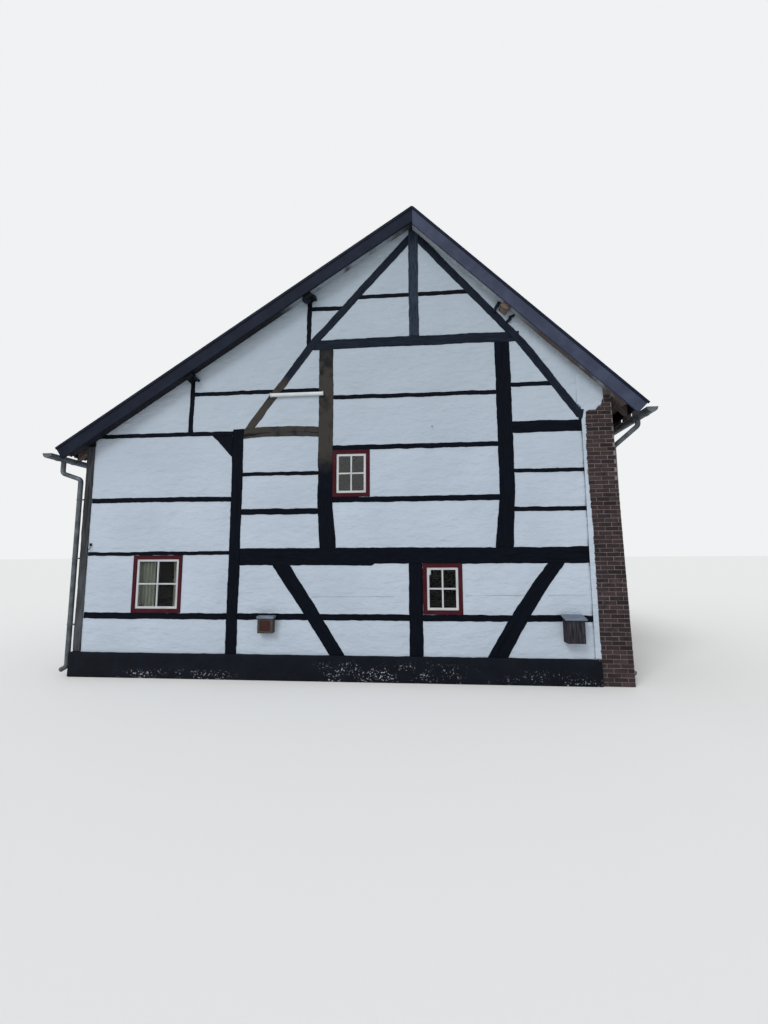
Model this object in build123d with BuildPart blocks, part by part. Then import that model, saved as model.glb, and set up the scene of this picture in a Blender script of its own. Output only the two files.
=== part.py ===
"""A half timbered house: a timber framed gable, a timber side wall and a long brick wall under one roof."""
import os
from math import cos, radians, sin, tan

from build123d import *

os.makedirs("parts", exist_ok=True)

# Sizes are in millimetres. X runs along the gable, Y from the front gable to the back one, Z up.
# The origin is on the ground in the middle of the house.

# Whole house, between the outer faces of its walls at the ground
house_width = 9770
house_depth = 11400

# Roof: the ridge line, the two slopes and how far they reach past the walls
ridge_x = 1373
ridge_z = 8625
left_pitch = 33.5
right_pitch = 44.8
left_eave_overhang = 460
right_eave_overhang = 524
verge_overhang = 200
covering_thickness = 60
rafter_width = 90
rafter_depth = 140
rafter_bays = 12
bargeboard_depth = 260
bargeboard_thickness = 32
soffit_thickness = 20
fascia_thickness = 20
ridge_cap_reach = 170
ridge_cap_thickness = 18

# Walls
gable_thickness = 180
infill_recess = 12
left_wall_thickness = 180
brick_width_at_top = 510
brick_batter = 90
brick_top_drop = 3775
plinth_height = 430
plinth_proud = 40
plinth_lap = 90

# Floors
ground_floor_thickness = 120
first_floor_thickness = 180

# Purlins: the distance of each from the ridge, measured level, and their square section
purlin_side = 150
lower_purlin_out = 4362
upper_purlin_out = 2120
right_purlin_out = 1850
ridge_purlin_depth = 160

# Timbers of the gable frame
corner_post_width = 168
corner_block_height = 170
tall_post_left = -2015
tall_post_right = -1805
tall_post_top = 4500
tie_beam_bottom = 2000
tie_beam_top = 2280
door_post_left = 1235
door_post_right = 1475
post_waist_z = 3190
left_post_left = -395
left_post_right = -125
left_post_foot_left = -355
left_post_foot_right = -55
right_post_left = 2830
right_post_right = 3095
right_post_foot_left = 2735
right_post_foot_right = 3045
collar_drop = 2445
collar_height = 190
king_post_left = 1290
king_post_right = 1470
principal_width = 145
left_principal_head_drop = 511
left_principal_bend_x = -545
left_principal_bend_rise = 100
left_principal_foot = (-1745, 4440)
right_principal_head_drop = 480
right_principal_bend_x = 3280
right_principal_bend_rise = 20
right_principal_foot = (4275, 4570)
left_bay_beam_bottom = 4310
left_bay_beam_top = 4500
right_bay_beam_bottom = 4288
right_bay_beam_top = 4500
strut_width = 90
upper_strut_foot_rise = 70

# Ground storey braces: where each meets the tie beam and the plinth
left_brace_head = (-1215, -895)
left_brace_foot = (-145, 125)
right_brace_head = (3595, 3875)
right_brace_foot = (2535, 2875)
knee_reach = 400
knee_drop = 410
knee_nose = 130

# Thin rails: level of the lower edge and height of each
ground_rail = (1020, 110)
outer_rails = ((2160, 70), (3140, 90))
outer_top_rail = (4385, 80)
inner_rails = ((2885, 105), (3600, 70))
centre_rails = ((3090, 100), (4050, 90))
right_rails = ((2890, 80), (3570, 70))
upper_centre_rail_share = 0.342
upper_right_rail_share = 0.423
upper_left_rail_share = 0.443
upper_rail_height = 80
gable_rail_rise = 970
small_gable_rail_rise = 770
gable_rail_height = 80

# Windows of the gable
ground_window_width = 680
upper_window_width = 680
outer_window_left = -3815
outer_window_width = 940
frame_member = 70
frame_depth = 90
sash_member = 42
sash_depth = 45
sash_recess = 15
pane_thickness = 6

# Timber side wall on the left
side_post_width = 200
side_bays = 4
side_plate_depth = 150
side_window_bays = (1, 2)
side_window_width = 940
side_brace_width = 170
side_brace_reach = 1750

# Long brick wall on the right: places of its openings along Y
brick_window_width = 900
brick_window_bottom = 1000
brick_window_height = 1050
brick_window_places = (-4100, -1900, 3900)
small_window_width = 700
small_window_bottom = 3150
small_window_height = 800
small_window_places = (-4100, -1400, 1400, 4100)
reveal = 100
doorway_place = 1100
doorway_width = 1050
doorway_height = 1950
door_thickness = 50
brick_plate_width = 150
brick_plate_setback = 40

# Gutters and downpipes
gutter_radius = 90
gutter_sheet = 4
gutter_overrun = 150
gutter_count = 4
gutter_joint_gap = 0.3
gutter_drop = 145
gutter_gap = 50
gutter_clearance = 10
left_gutter_out = 5
right_gutter_in = 44
bracket_strap = 6
bracket_width = 30
bracket_arm_height = 36
pipe_radius = 42
pipe_sheet = 4
pipe_wall_gap = 44
pipe_bend_radius = 75
left_outlet_drop = 215
right_outlet_drop = 85
left_swan_fall = 130
right_swan_fall = 300
left_outlet_back = 10
left_pipe_back = 10
right_outlet_back = 110
right_pipe_back = 380
pipe_foot_z = 170
pipe_shoe_reach = 110
pipe_shoe_fall = 60
clip_height = 26
clip_sheet = 4
clip_arm_width = 20
clip_levels = (900, 2100, 3200)

# Things fixed to the front gable
nest_left = 3785
nest_bottom = 710
nest_width = 290
nest_height = 420
nest_depth = 190
nest_lid_fall = 45
nest_lid_thickness = 22
lid_overhang = 30
box_left = -1395
box_bottom = 812
box_width = 270
box_height = 250
box_depth = 120
box_lid_thickness = 40
lamp_left = -1305
lamp_rail_gap = 3
lamp_length = 1000
lamp_height = 72
lamp_depth = 55

# Faces and levels that follow from the sizes above
left_face = -house_width / 2
left_inner_face = left_face + left_wall_thickness
corner_post_inner = left_face + corner_post_width
brick_foot_face = house_width / 2
brick_head_face = brick_foot_face - brick_batter
brick_inner_face = brick_head_face - brick_width_at_top
half_depth = house_depth / 2
inner_half_depth = half_depth - gable_thickness
rafter_under = covering_thickness + rafter_depth
brick_top = ridge_z - brick_top_drop
king_post_width = king_post_right - king_post_left
collar_top = ridge_z - collar_drop
collar_bottom = collar_top - collar_height
collar_above_beams = collar_bottom - left_bay_beam_top
upper_left_rail_z = left_bay_beam_top + upper_left_rail_share * collar_above_beams
upper_centre_rail_z = left_bay_beam_top + upper_centre_rail_share * collar_above_beams
upper_right_rail_z = left_bay_beam_top + upper_right_rail_share * collar_above_beams
gable_rail_z = collar_bottom + gable_rail_rise
small_gable_rail_z = collar_bottom + small_gable_rail_rise
lamp_bottom = upper_left_rail_z - lamp_rail_gap - lamp_height
front_face = Plane.XZ.offset(half_depth)
back_face = Plane.XZ.offset(-half_depth)


def slope_point(side, along, below):
    """The point on a slope, along it from the ridge and square below its surface."""
    if side == "left":
        pitch, way = radians(left_pitch), -1
    else:
        pitch, way = radians(right_pitch), 1
    x = ridge_x + way * (along * cos(pitch) - below * sin(pitch))
    z = ridge_z - along * sin(pitch) - below * cos(pitch)
    return (x, z)


def slope_height(side, x, below):
    """The height of the plane that lies square below a slope's surface, at a place across the house."""
    pitch = radians(left_pitch if side == "left" else right_pitch)
    return ridge_z - abs(x - ridge_x) * tan(pitch) - below / cos(pitch)


def slope_length(side, x):
    """The distance down a slope's surface from the ridge to a place across the house."""
    pitch = radians(left_pitch if side == "left" else right_pitch)
    return abs(x - ridge_x) / cos(pitch)


def layer(side, along, top, bottom):
    """The outline of one layer of a slope: plumb at the ridge, square cut at its lower end."""
    return (
        (ridge_x, slope_height(side, ridge_x, top)),
        slope_point(side, along, top),
        slope_point(side, along, bottom),
        (ridge_x, slope_height(side, ridge_x, bottom)),
    )


def tilted_square(side, out):
    """The outline of a purlin that lies against the underside of the rafters."""
    along = slope_length(side, ridge_x + out)
    half = purlin_side / 2
    below = rafter_under + purlin_side
    return (
        slope_point(side, along - half, rafter_under),
        slope_point(side, along + half, rafter_under),
        slope_point(side, along + half, below),
        slope_point(side, along - half, below),
    )


def crossing(start, end, level):
    """The place across the house where a sloping line reaches a level."""
    share = (level - start[1]) / (end[1] - start[1])
    return start[0] + share * (end[0] - start[0])


def upright(left, right, bottom, top):
    """The outline of a straight piece with level ends."""
    return ((left, bottom), (right, bottom), (right, top), (left, top))


def rail(left, right, level):
    """The outline of a level rail, from its lower edge and its height."""
    bottom, height = level
    return upright(left, right, bottom, bottom + height)


def opening(window, margin=0):
    """The outline of a window or doorway, or of one set inside it by an even margin."""
    left, bottom, width, height = window
    return rail(left + margin, left + width - margin, (bottom + margin, height - 2 * margin))


def sloping_band(side, start, end):
    """The outline of the rafters' layer of a slope between two plumb cuts."""
    return (
        (start, slope_height(side, start, covering_thickness)),
        (end, slope_height(side, end, covering_thickness)),
        (end, slope_height(side, end, rafter_under)),
        (start, slope_height(side, start, rafter_under)),
    )


def run_on(start, end, length):
    """The point that lies a length beyond the end of a sloping line."""
    way = (Vector(*end) - Vector(*start)).normalized()
    return (end[0] + length * way.X, end[1] + length * way.Y)


def bent_timber(points, width):
    """The outline of a timber of even width along a line that bends once."""
    near, middle, far = (Vector(*point) for point in points)
    first = (middle - near).normalized()
    second = (far - middle).normalized()
    across = [Vector(-way.Y, way.X) for way in (first, (first + second).normalized(), second)]
    half = width / 2
    one_side = [point + square * half for point, square in zip((near, middle, far), across)]
    other_side = [point - square * half for point, square in zip((near, middle, far), across)]
    return [(point.X, point.Y) for point in one_side + other_side[::-1]]


def draw(outlines, cut_by=()):
    """Fills the sketch in hand with outlines, less the pieces that they butt against."""
    for outline in outlines:
        Polygon(*outline, align=None)
    for outline in cut_by:
        Polygon(*outline, align=None, mode=Mode.SUBTRACT)


# Outlines of the gable frame, thick pieces first: each later piece is cut back by those before it
left_eave = left_face - left_eave_overhang
right_eave = brick_head_face + right_eave_overhang
eaves = {"left": left_eave, "right": right_eave}
gutter_places = {"left": left_eave - left_gutter_out, "right": right_eave - right_gutter_in}
gutter_rims = {side: slope_height(side, eave, 0) - gutter_drop for side, eave in eaves.items()}
gutter_half_room = gutter_radius + gutter_clearance
fascia_faces = {
    "left": gutter_places["left"] + gutter_half_room,
    "right": gutter_places["right"] - gutter_half_room,
}
tails = {"left": fascia_faces["left"] + fascia_thickness, "right": fascia_faces["right"] - fascia_thickness}
corner_head_z = slope_height("left", left_face, covering_thickness) - corner_block_height
purlins_at = (("left", -lower_purlin_out), ("left", -upper_purlin_out), ("right", right_purlin_out))
purlin_outlines = [tilted_square(side, out) for side, out in purlins_at]
purlin_centres = [
    slope_point(side, slope_length(side, ridge_x + out), rafter_under + purlin_side / 2)
    for side, out in purlins_at
]
tall_post = upright(tall_post_left, tall_post_right, plinth_height, tall_post_top)
door_post = upright(door_post_left, door_post_right, plinth_height, tie_beam_bottom)
left_post = (
    (left_post_foot_left, tie_beam_top),
    (left_post_foot_right, tie_beam_top),
    (left_post_right, post_waist_z),
    (left_post_right, collar_bottom),
    (left_post_left, collar_bottom),
    (left_post_left, post_waist_z),
)
right_post = (
    (right_post_foot_left, tie_beam_top),
    (right_post_foot_right, tie_beam_top),
    (right_post_right, post_waist_z),
    (right_post_right, collar_bottom),
    (right_post_left, collar_bottom),
    (right_post_left, post_waist_z),
)
post_outlines = [tall_post, door_post, left_post, right_post]
tie_beam = upright(tall_post_right, brick_inner_face, tie_beam_bottom, tie_beam_top)
left_bay_beam = upright(tall_post_right, left_post_left, left_bay_beam_bottom, left_bay_beam_top)
right_bay_beam = upright(right_post_right, brick_inner_face, right_bay_beam_bottom, right_bay_beam_top)
king_post = upright(king_post_left, king_post_right, collar_top, ridge_z)
above_roof = [
    (
        (eave, slope_height(side, eave, covering_thickness)),
        (ridge_x, slope_height(side, ridge_x, covering_thickness)),
        (ridge_x, ridge_z),
        (eave, ridge_z),
    )
    for side, eave in (("left", left_eave), ("right", right_eave))
]
beam_outlines = [left_bay_beam, right_bay_beam]
left_principal_head = (king_post_left, ridge_z - left_principal_head_drop)
left_principal_bend = (left_principal_bend_x, collar_bottom + left_principal_bend_rise)
right_principal_head = (king_post_right, ridge_z - right_principal_head_drop)
right_principal_bend = (right_principal_bend_x, collar_bottom + right_principal_bend_rise)
principal_lines = (
    (left_principal_head, left_principal_bend, left_principal_foot),
    (right_principal_head, right_principal_bend, right_principal_foot),
)
principal_outlines = [
    bent_timber((run_on(bend, head, king_post_width / 2), bend, foot), principal_width)
    for head, bend, foot in principal_lines
]
collar = upright(left_principal_bend[0], right_principal_bend[0], collar_bottom, collar_top)
strut_outlines = [
    upright(
        purlin_centres[0][0] - strut_width / 2,
        purlin_centres[0][0] + strut_width / 2,
        outer_top_rail[0] + outer_top_rail[1],
        purlin_centres[0][1],
    ),
    upright(
        purlin_centres[1][0] - strut_width / 2,
        purlin_centres[1][0] + strut_width / 2,
        collar_bottom + upper_strut_foot_rise,
        purlin_centres[1][1],
    ),
]


def brace(head, foot):
    """The outline of a ground storey brace between the plinth and the tie beam."""
    return (
        (foot[0], plinth_height),
        (foot[1], plinth_height),
        (head[1], tie_beam_bottom),
        (head[0], tie_beam_bottom),
    )


outer_top_rail_outline = rail(corner_post_inner, tall_post_left, outer_top_rail)
knee = (
    (tall_post_left, outer_top_rail[0] - knee_drop),
    (tall_post_left, outer_top_rail[0]),
    (tall_post_left - knee_reach, outer_top_rail[0]),
    (tall_post_left - knee_reach + knee_nose, outer_top_rail[0] - knee_nose),
)
brace_outlines = [
    brace(left_brace_head, left_brace_foot),
    brace(right_brace_head, right_brace_foot),
    knee,
]
tall_middle = (tall_post_left + tall_post_right) / 2
left_middle = (left_post_left + left_post_right) / 2
right_middle = (right_post_left + right_post_right) / 2
king_middle = (king_post_left + king_post_right) / 2
rail_outlines = [
    rail(corner_post_inner, brick_inner_face, ground_rail),
    *[rail(corner_post_inner, tall_middle, level) for level in outer_rails],
    outer_top_rail_outline,
    *[rail(tall_middle, left_middle, level) for level in inner_rails],
    *[rail(left_middle, right_middle, level) for level in centre_rails],
    *[rail(right_middle, brick_inner_face, level) for level in right_rails],
    rail(purlin_centres[0][0], left_middle, (upper_left_rail_z, upper_rail_height)),
    rail(left_middle, right_middle, (upper_centre_rail_z, upper_rail_height)),
    rail(
        right_middle,
        crossing(right_principal_bend, right_principal_foot, upper_right_rail_z),
        (upper_right_rail_z, upper_rail_height),
    ),
    rail(
        crossing(left_principal_bend, left_principal_head, gable_rail_z),
        crossing(right_principal_bend, right_principal_head, gable_rail_z),
        (gable_rail_z, gable_rail_height),
    ),
    rail(
        purlin_centres[1][0],
        crossing(left_principal_bend, left_principal_head, small_gable_rail_z),
        (small_gable_rail_z, gable_rail_height),
    ),
]
corner_block = (
    (left_face, corner_head_z),
    (corner_post_inner, corner_head_z),
    (corner_post_inner, slope_height("left", corner_post_inner, covering_thickness)),
    (left_face, slope_height("left", left_face, covering_thickness)),
)

# The gable's windows: left edge, bottom, width and height of each
ground_rail_top = ground_rail[0] + ground_rail[1]
sill_rail_top = centre_rails[0][0] + centre_rails[0][1]
gable_windows = [
    (door_post_right, ground_rail_top, ground_window_width, tie_beam_bottom - ground_rail_top),
    (left_post_right, sill_rail_top, upper_window_width, centre_rails[1][0] - sill_rail_top),
    (outer_window_left, ground_rail_top, outer_window_width, outer_rails[0][0] - ground_rail_top),
]
window_outlines = [opening(window) for window in gable_windows]

thick_outlines = [*post_outlines, tie_beam, *beam_outlines, king_post, *purlin_outlines]
timber_outlines = [
    *thick_outlines,
    *principal_outlines,
    collar,
    *strut_outlines,
    *brace_outlines,
    *rail_outlines,
]

brick_outline = (
    (brick_inner_face, 0),
    (brick_foot_face, 0),
    (brick_head_face, brick_top),
    (brick_inner_face, brick_top),
)
gable_outline = (
    (corner_post_inner, plinth_height),
    (brick_inner_face, plinth_height),
    (brick_inner_face, brick_top),
    (brick_head_face, brick_top),
    (brick_head_face, slope_height("right", brick_head_face, covering_thickness)),
    (ridge_x, slope_height("right", ridge_x, covering_thickness)),
    (ridge_x, slope_height("left", ridge_x, covering_thickness)),
    (corner_post_inner, slope_height("left", corner_post_inner, covering_thickness)),
)

# Room-side faces, planes and lengths shared by the pieces below
side_plane = Plane.YZ.offset(left_face)
brick_frame_plane = Plane.YZ.offset(brick_head_face - reveal)
side_half = inner_half_depth
verge_half = half_depth + verge_overhang
covering_half = verge_half - bargeboard_thickness
mirror_plane = Plane.XZ

# Ground slab and first floor
with BuildPart() as ground_floor:
    with BuildSketch():
        draw([upright(left_inner_face, brick_inner_face, -inner_half_depth, inner_half_depth)])
    extrude(amount=ground_floor_thickness)
ground_floor.part.label = "ground_floor"
export_step(ground_floor.part, "parts/ground_floor.step")

with BuildPart() as first_floor:
    with BuildSketch(Plane.XY.offset(tie_beam_top - first_floor_thickness)):
        draw([upright(left_inner_face, brick_inner_face, -inner_half_depth, inner_half_depth)])
    extrude(amount=first_floor_thickness)
first_floor.part.label = "first_floor"
export_step(first_floor.part, "parts/first_floor.step")

# Tarred plinth under the three timber walls, lapping a little over the foot of the brick wall's ends
plinth_outer_half = half_depth + plinth_proud
with BuildPart() as plinth:
    with BuildSketch():
        draw(
            [upright(left_face - plinth_proud, brick_inner_face, -plinth_outer_half, plinth_outer_half)],
            [upright(left_inner_face, brick_inner_face, -inner_half_depth, inner_half_depth)],
        )
        draw([
            upright(brick_inner_face, brick_inner_face + plinth_lap, -plinth_outer_half, -half_depth),
            upright(brick_inner_face, brick_inner_face + plinth_lap, half_depth, plinth_outer_half),
        ])
    extrude(amount=plinth_height)
plinth.part.label = "plinth"
export_step(plinth.part, "parts/plinth.step")

# Long brick wall, battered outside, with windows and a doorway cut through it
brick_windows = [
    *[(place - brick_window_width / 2, brick_window_bottom, brick_window_width, brick_window_height)
      for place in brick_window_places],
    *[(place - small_window_width / 2, small_window_bottom, small_window_width, small_window_height)
      for place in small_window_places],
]
doorway = (
    doorway_place - doorway_width / 2,
    ground_floor_thickness,
    doorway_width,
    doorway_height,
)
with BuildPart() as right_brick_wall:
    with BuildSketch(front_face):
        draw([brick_outline])
    extrude(amount=-house_depth)
    with BuildSketch(Plane.YZ.offset(brick_inner_face)):
        draw([opening(window) for window in [*brick_windows, doorway]])
    extrude(amount=brick_width_at_top + brick_batter, mode=Mode.SUBTRACT)
right_brick_wall.part.label = "right_brick_wall"
export_step(right_brick_wall.part, "parts/right_brick_wall.step")

# Weathered corner posts on the plinth
with BuildPart() as corner_posts:
    with BuildSketch(front_face):
        draw([upright(left_face, corner_post_inner, plinth_height, corner_head_z)])
    extrude(amount=-gable_thickness)
    mirror(about=mirror_plane)
corner_posts.part.label = "corner_posts"
export_step(corner_posts.part, "parts/corner_posts.step")

# Timbers of the front gable, each kind repeated on the back gable
with BuildPart() as gable_posts:
    with BuildSketch(front_face):
        draw(post_outlines)
    extrude(amount=-gable_thickness)
    mirror(about=mirror_plane)
gable_posts.part.label = "gable_posts"
export_step(gable_posts.part, "parts/gable_posts.step")

with BuildPart() as gable_beams:
    with BuildSketch(front_face):
        draw([tie_beam, *beam_outlines])
    extrude(amount=-gable_thickness)
    mirror(about=mirror_plane)
gable_beams.part.label = "gable_beams"
export_step(gable_beams.part, "parts/gable_beams.step")

with BuildPart() as principal_rafters:
    with BuildSketch(front_face):
        draw(principal_outlines, [*thick_outlines, brick_outline])
    extrude(amount=-gable_thickness)
    mirror(about=mirror_plane)
principal_rafters.part.label = "principal_rafters"
export_step(principal_rafters.part, "parts/principal_rafters.step")

with BuildPart() as king_posts:
    with BuildSketch(front_face):
        draw([king_post], above_roof)
    extrude(amount=-gable_thickness)
    mirror(about=mirror_plane)
king_posts.part.label = "king_posts"
export_step(king_posts.part, "parts/king_posts.step")

with BuildPart() as collar_beams:
    with BuildSketch(front_face):
        draw([collar], principal_outlines)
    extrude(amount=-gable_thickness)
    mirror(about=mirror_plane)
collar_beams.part.label = "collar_beams"
export_step(collar_beams.part, "parts/collar_beams.step")

with BuildPart() as purlin_struts:
    with BuildSketch(front_face):
        draw(strut_outlines, [*principal_outlines, collar, *purlin_outlines])
    extrude(amount=-gable_thickness)
    mirror(about=mirror_plane)
purlin_struts.part.label = "purlin_struts"
export_step(purlin_struts.part, "parts/purlin_struts.step")

with BuildPart() as gable_braces:
    with BuildSketch(front_face):
        draw(brace_outlines)
    extrude(amount=-gable_thickness)
    mirror(about=mirror_plane)
gable_braces.part.label = "gable_braces"
export_step(gable_braces.part, "parts/gable_braces.step")

with BuildPart() as gable_rails:
    with BuildSketch(front_face):
        draw(
            rail_outlines,
            [*thick_outlines, *principal_outlines, collar, *strut_outlines, *brace_outlines, *above_roof],
        )
        draw([corner_block])
    extrude(amount=-gable_thickness)
    mirror(about=mirror_plane)
gable_rails.part.label = "gable_rails"
export_step(gable_rails.part, "parts/gable_rails.step")

# Lime-washed infill panels, set back a little from the timbers
with BuildPart() as gable_infill:
    with BuildSketch(front_face.offset(-infill_recess)):
        draw([gable_outline], [*timber_outlines, *window_outlines])
    extrude(amount=-gable_thickness + infill_recess)
    mirror(about=mirror_plane)
gable_infill.part.label = "gable_infill"
export_step(gable_infill.part, "parts/gable_infill.step")

# Timber side wall: posts, rails, braces and infill between the corner posts
bay_length = house_depth / side_bays
plate_bottom = slope_height("left", left_face, rafter_under) - side_plate_depth
side_posts = [
    upright(place - side_post_width / 2, place + side_post_width / 2, plinth_height, plate_bottom)
    for place in [-half_depth + bay_length * bay for bay in range(1, side_bays)]
]
side_rails = [rail(-side_half, side_half, level) for level in (ground_rail, *outer_rails)]
side_braces = [
    (
        (way * side_half, plinth_height),
        (way * (side_half - side_brace_width), plinth_height),
        (way * (side_half - side_brace_reach - side_brace_width), plate_bottom),
        (way * (side_half - side_brace_reach), plate_bottom),
    )
    for way in (-1, 1)
]
side_windows = [
    (
        -half_depth + bay_length * (bay + 0.5) - side_window_width / 2,
        ground_rail_top,
        side_window_width,
        outer_rails[0][0] - ground_rail_top,
    )
    for bay in side_window_bays
]

with BuildPart() as side_wall_posts:
    with BuildSketch(side_plane):
        draw(side_posts)
    extrude(amount=left_wall_thickness)
side_wall_posts.part.label = "side_wall_posts"
export_step(side_wall_posts.part, "parts/side_wall_posts.step")

with BuildPart() as side_wall_braces:
    with BuildSketch(side_plane):
        draw(side_braces)
    extrude(amount=left_wall_thickness)
side_wall_braces.part.label = "side_wall_braces"
export_step(side_wall_braces.part, "parts/side_wall_braces.step")

with BuildPart() as side_wall_rails:
    with BuildSketch(side_plane):
        draw(side_rails, [*side_posts, *side_braces])
    extrude(amount=left_wall_thickness)
side_wall_rails.part.label = "side_wall_rails"
export_step(side_wall_rails.part, "parts/side_wall_rails.step")

with BuildPart() as side_wall_infill:
    with BuildSketch(side_plane.offset(infill_recess)):
        draw(
            [upright(-side_half, side_half, plinth_height, plate_bottom)],
            [*side_posts, *side_braces, *side_rails, *[opening(window) for window in side_windows]],
        )
    extrude(amount=left_wall_thickness - infill_recess)
side_wall_infill.part.label = "side_wall_infill"
export_step(side_wall_infill.part, "parts/side_wall_infill.step")

# Wall plates with their tops cut to the pitch
right_plate_outer = brick_head_face - brick_plate_setback
right_plate_inner = right_plate_outer - brick_plate_width
plate_edges = (("left", left_face, left_inner_face), ("right", right_plate_outer, right_plate_inner))
with BuildPart() as wall_plates:
    with BuildSketch(Plane.XZ.offset(side_half)):
        for side, outer, inner in plate_edges:
            foot = plate_bottom if side == "left" else brick_top
            draw([(
                (outer, foot),
                (inner, foot),
                (inner, slope_height(side, inner, rafter_under)),
                (outer, slope_height(side, outer, rafter_under)),
            )])
    extrude(amount=-2 * side_half)
wall_plates.part.label = "wall_plates"
export_step(wall_plates.part, "parts/wall_plates.step")

# Purlins run through both gables and carry the verges; the ridge purlin stays between the king posts
ridge_purlin_foot = slope_height("right", king_post_right, rafter_under) - ridge_purlin_depth
with BuildPart() as purlins:
    with BuildSketch(Plane.XZ.offset(covering_half)):
        draw(purlin_outlines)
    extrude(amount=-2 * covering_half)
    with BuildSketch(Plane.XZ.offset(inner_half_depth)):
        draw([(
            (king_post_left, ridge_purlin_foot),
            (king_post_right, ridge_purlin_foot),
            (king_post_right, slope_height("right", king_post_right, rafter_under)),
            (ridge_x, slope_height("right", ridge_x, rafter_under)),
            (ridge_x, slope_height("left", ridge_x, rafter_under)),
            (king_post_left, slope_height("left", king_post_left, rafter_under)),
        )])
    extrude(amount=-2 * inner_half_depth)
purlins.part.label = "purlins"
export_step(purlins.part, "parts/purlins.step")

# Rafters with plumb ends: one pair behind each bargeboard and an even row from gable to gable
verge_rafter_place = covering_half - rafter_width / 2
end_rafter_place = inner_half_depth - rafter_width / 2
rafter_spacing = 2 * end_rafter_place / rafter_bays
rafter_places = [
    -verge_rafter_place,
    *[-end_rafter_place + rafter_spacing * step for step in range(rafter_bays + 1)],
    verge_rafter_place,
]
for side, tail in tails.items():
    with BuildPart() as rafters:
        for place in rafter_places:
            with BuildSketch(Plane.XZ.offset(-place + rafter_width / 2)):
                draw([sloping_band(side, ridge_x, tail)])
            extrude(amount=-rafter_width)
    rafters.part.label = f"{side}_rafters"
    export_step(rafters.part, f"parts/{side}_rafters.step")

# Boards over the rafter tails, which end a little above the gutters, and short walling above both plates
with BuildPart() as fascias:
    with BuildSketch(Plane.XZ.offset(covering_half)):
        for side, tail in tails.items():
            face = fascia_faces[side]
            foot = gutter_rims[side] + gutter_gap
            draw([(
                (tail, slope_height(side, tail, covering_thickness)),
                (face, slope_height(side, face, covering_thickness)),
                (face, foot),
                (tail, foot),
            )])
    extrude(amount=-2 * covering_half)
fascias.part.label = "fascias"
export_step(fascias.part, "parts/fascias.step")

with BuildPart() as eave_infill:
    with BuildSketch(Plane.XZ.offset(side_half)):
        draw([sloping_band(side, outer, inner) for side, outer, inner in plate_edges])
    extrude(amount=-2 * side_half)
    with BuildSketch():
        draw([
            upright(left_eave, right_eave, place - rafter_width / 2, place + rafter_width / 2)
            for place in rafter_places[1:-1]
        ])
    extrude(amount=ridge_z, mode=Mode.SUBTRACT)
eave_infill.part.label = "eave_infill"
export_step(eave_infill.part, "parts/eave_infill.step")

# Roof covering between the bargeboards, with an angled cap along the ridge
for side, eave in eaves.items():
    along = slope_length(side, eave)
    with BuildPart() as covering:
        with BuildSketch(Plane.XZ.offset(covering_half)):
            draw([layer(side, along, 0, covering_thickness)])
        extrude(amount=-2 * covering_half)
    covering.part.label = f"{side}_roof"
    export_step(covering.part, f"parts/{side}_roof.step")

    with BuildPart() as bargeboards:
        with BuildSketch(Plane.XZ.offset(verge_half)):
            draw([layer(side, along, 0, bargeboard_depth)])
        extrude(amount=-bargeboard_thickness)
        mirror(about=mirror_plane)
    bargeboards.part.label = f"{side}_bargeboards"
    export_step(bargeboards.part, f"parts/{side}_bargeboards.step")

with BuildPart() as ridge_cap:
    with BuildSketch(Plane.XZ.offset(covering_half)):
        draw([(
            (ridge_x, ridge_z),
            slope_point("left", ridge_cap_reach, 0),
            slope_point("left", ridge_cap_reach, -ridge_cap_thickness),
            (ridge_x, slope_height("right", ridge_x, -ridge_cap_thickness)),
            slope_point("right", ridge_cap_reach, -ridge_cap_thickness),
            slope_point("right", ridge_cap_reach, 0),
        )])
    extrude(amount=-2 * covering_half)
ridge_cap.part.label = "ridge_cap"
export_step(ridge_cap.part, "parts/ridge_cap.step")

# Boards under the slopes along all verges, and under the rafter tails at the right eave
soffit_under = rafter_under + soffit_thickness
tail_along = slope_length("right", tails["right"])
with BuildPart() as verge_soffits:
    with BuildSketch(front_face):
        draw(
            [layer(side, slope_length(side, tail), rafter_under, soffit_under) for side, tail in tails.items()],
            purlin_outlines,
        )
    extrude(amount=verge_overhang - bargeboard_thickness)
    mirror(about=mirror_plane)
verge_soffits.part.label = "verge_soffits"
export_step(verge_soffits.part, "parts/verge_soffits.step")

with BuildPart() as eave_soffit:
    with BuildSketch(front_face):
        draw([(
            (brick_head_face, slope_height("right", brick_head_face, rafter_under)),
            slope_point("right", tail_along, rafter_under),
            slope_point("right", tail_along, soffit_under),
            (brick_head_face, slope_height("right", brick_head_face, soffit_under)),
        )])
    extrude(amount=-house_depth)
eave_soffit.part.label = "eave_soffit"
export_step(eave_soffit.part, "parts/eave_soffit.step")

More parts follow.
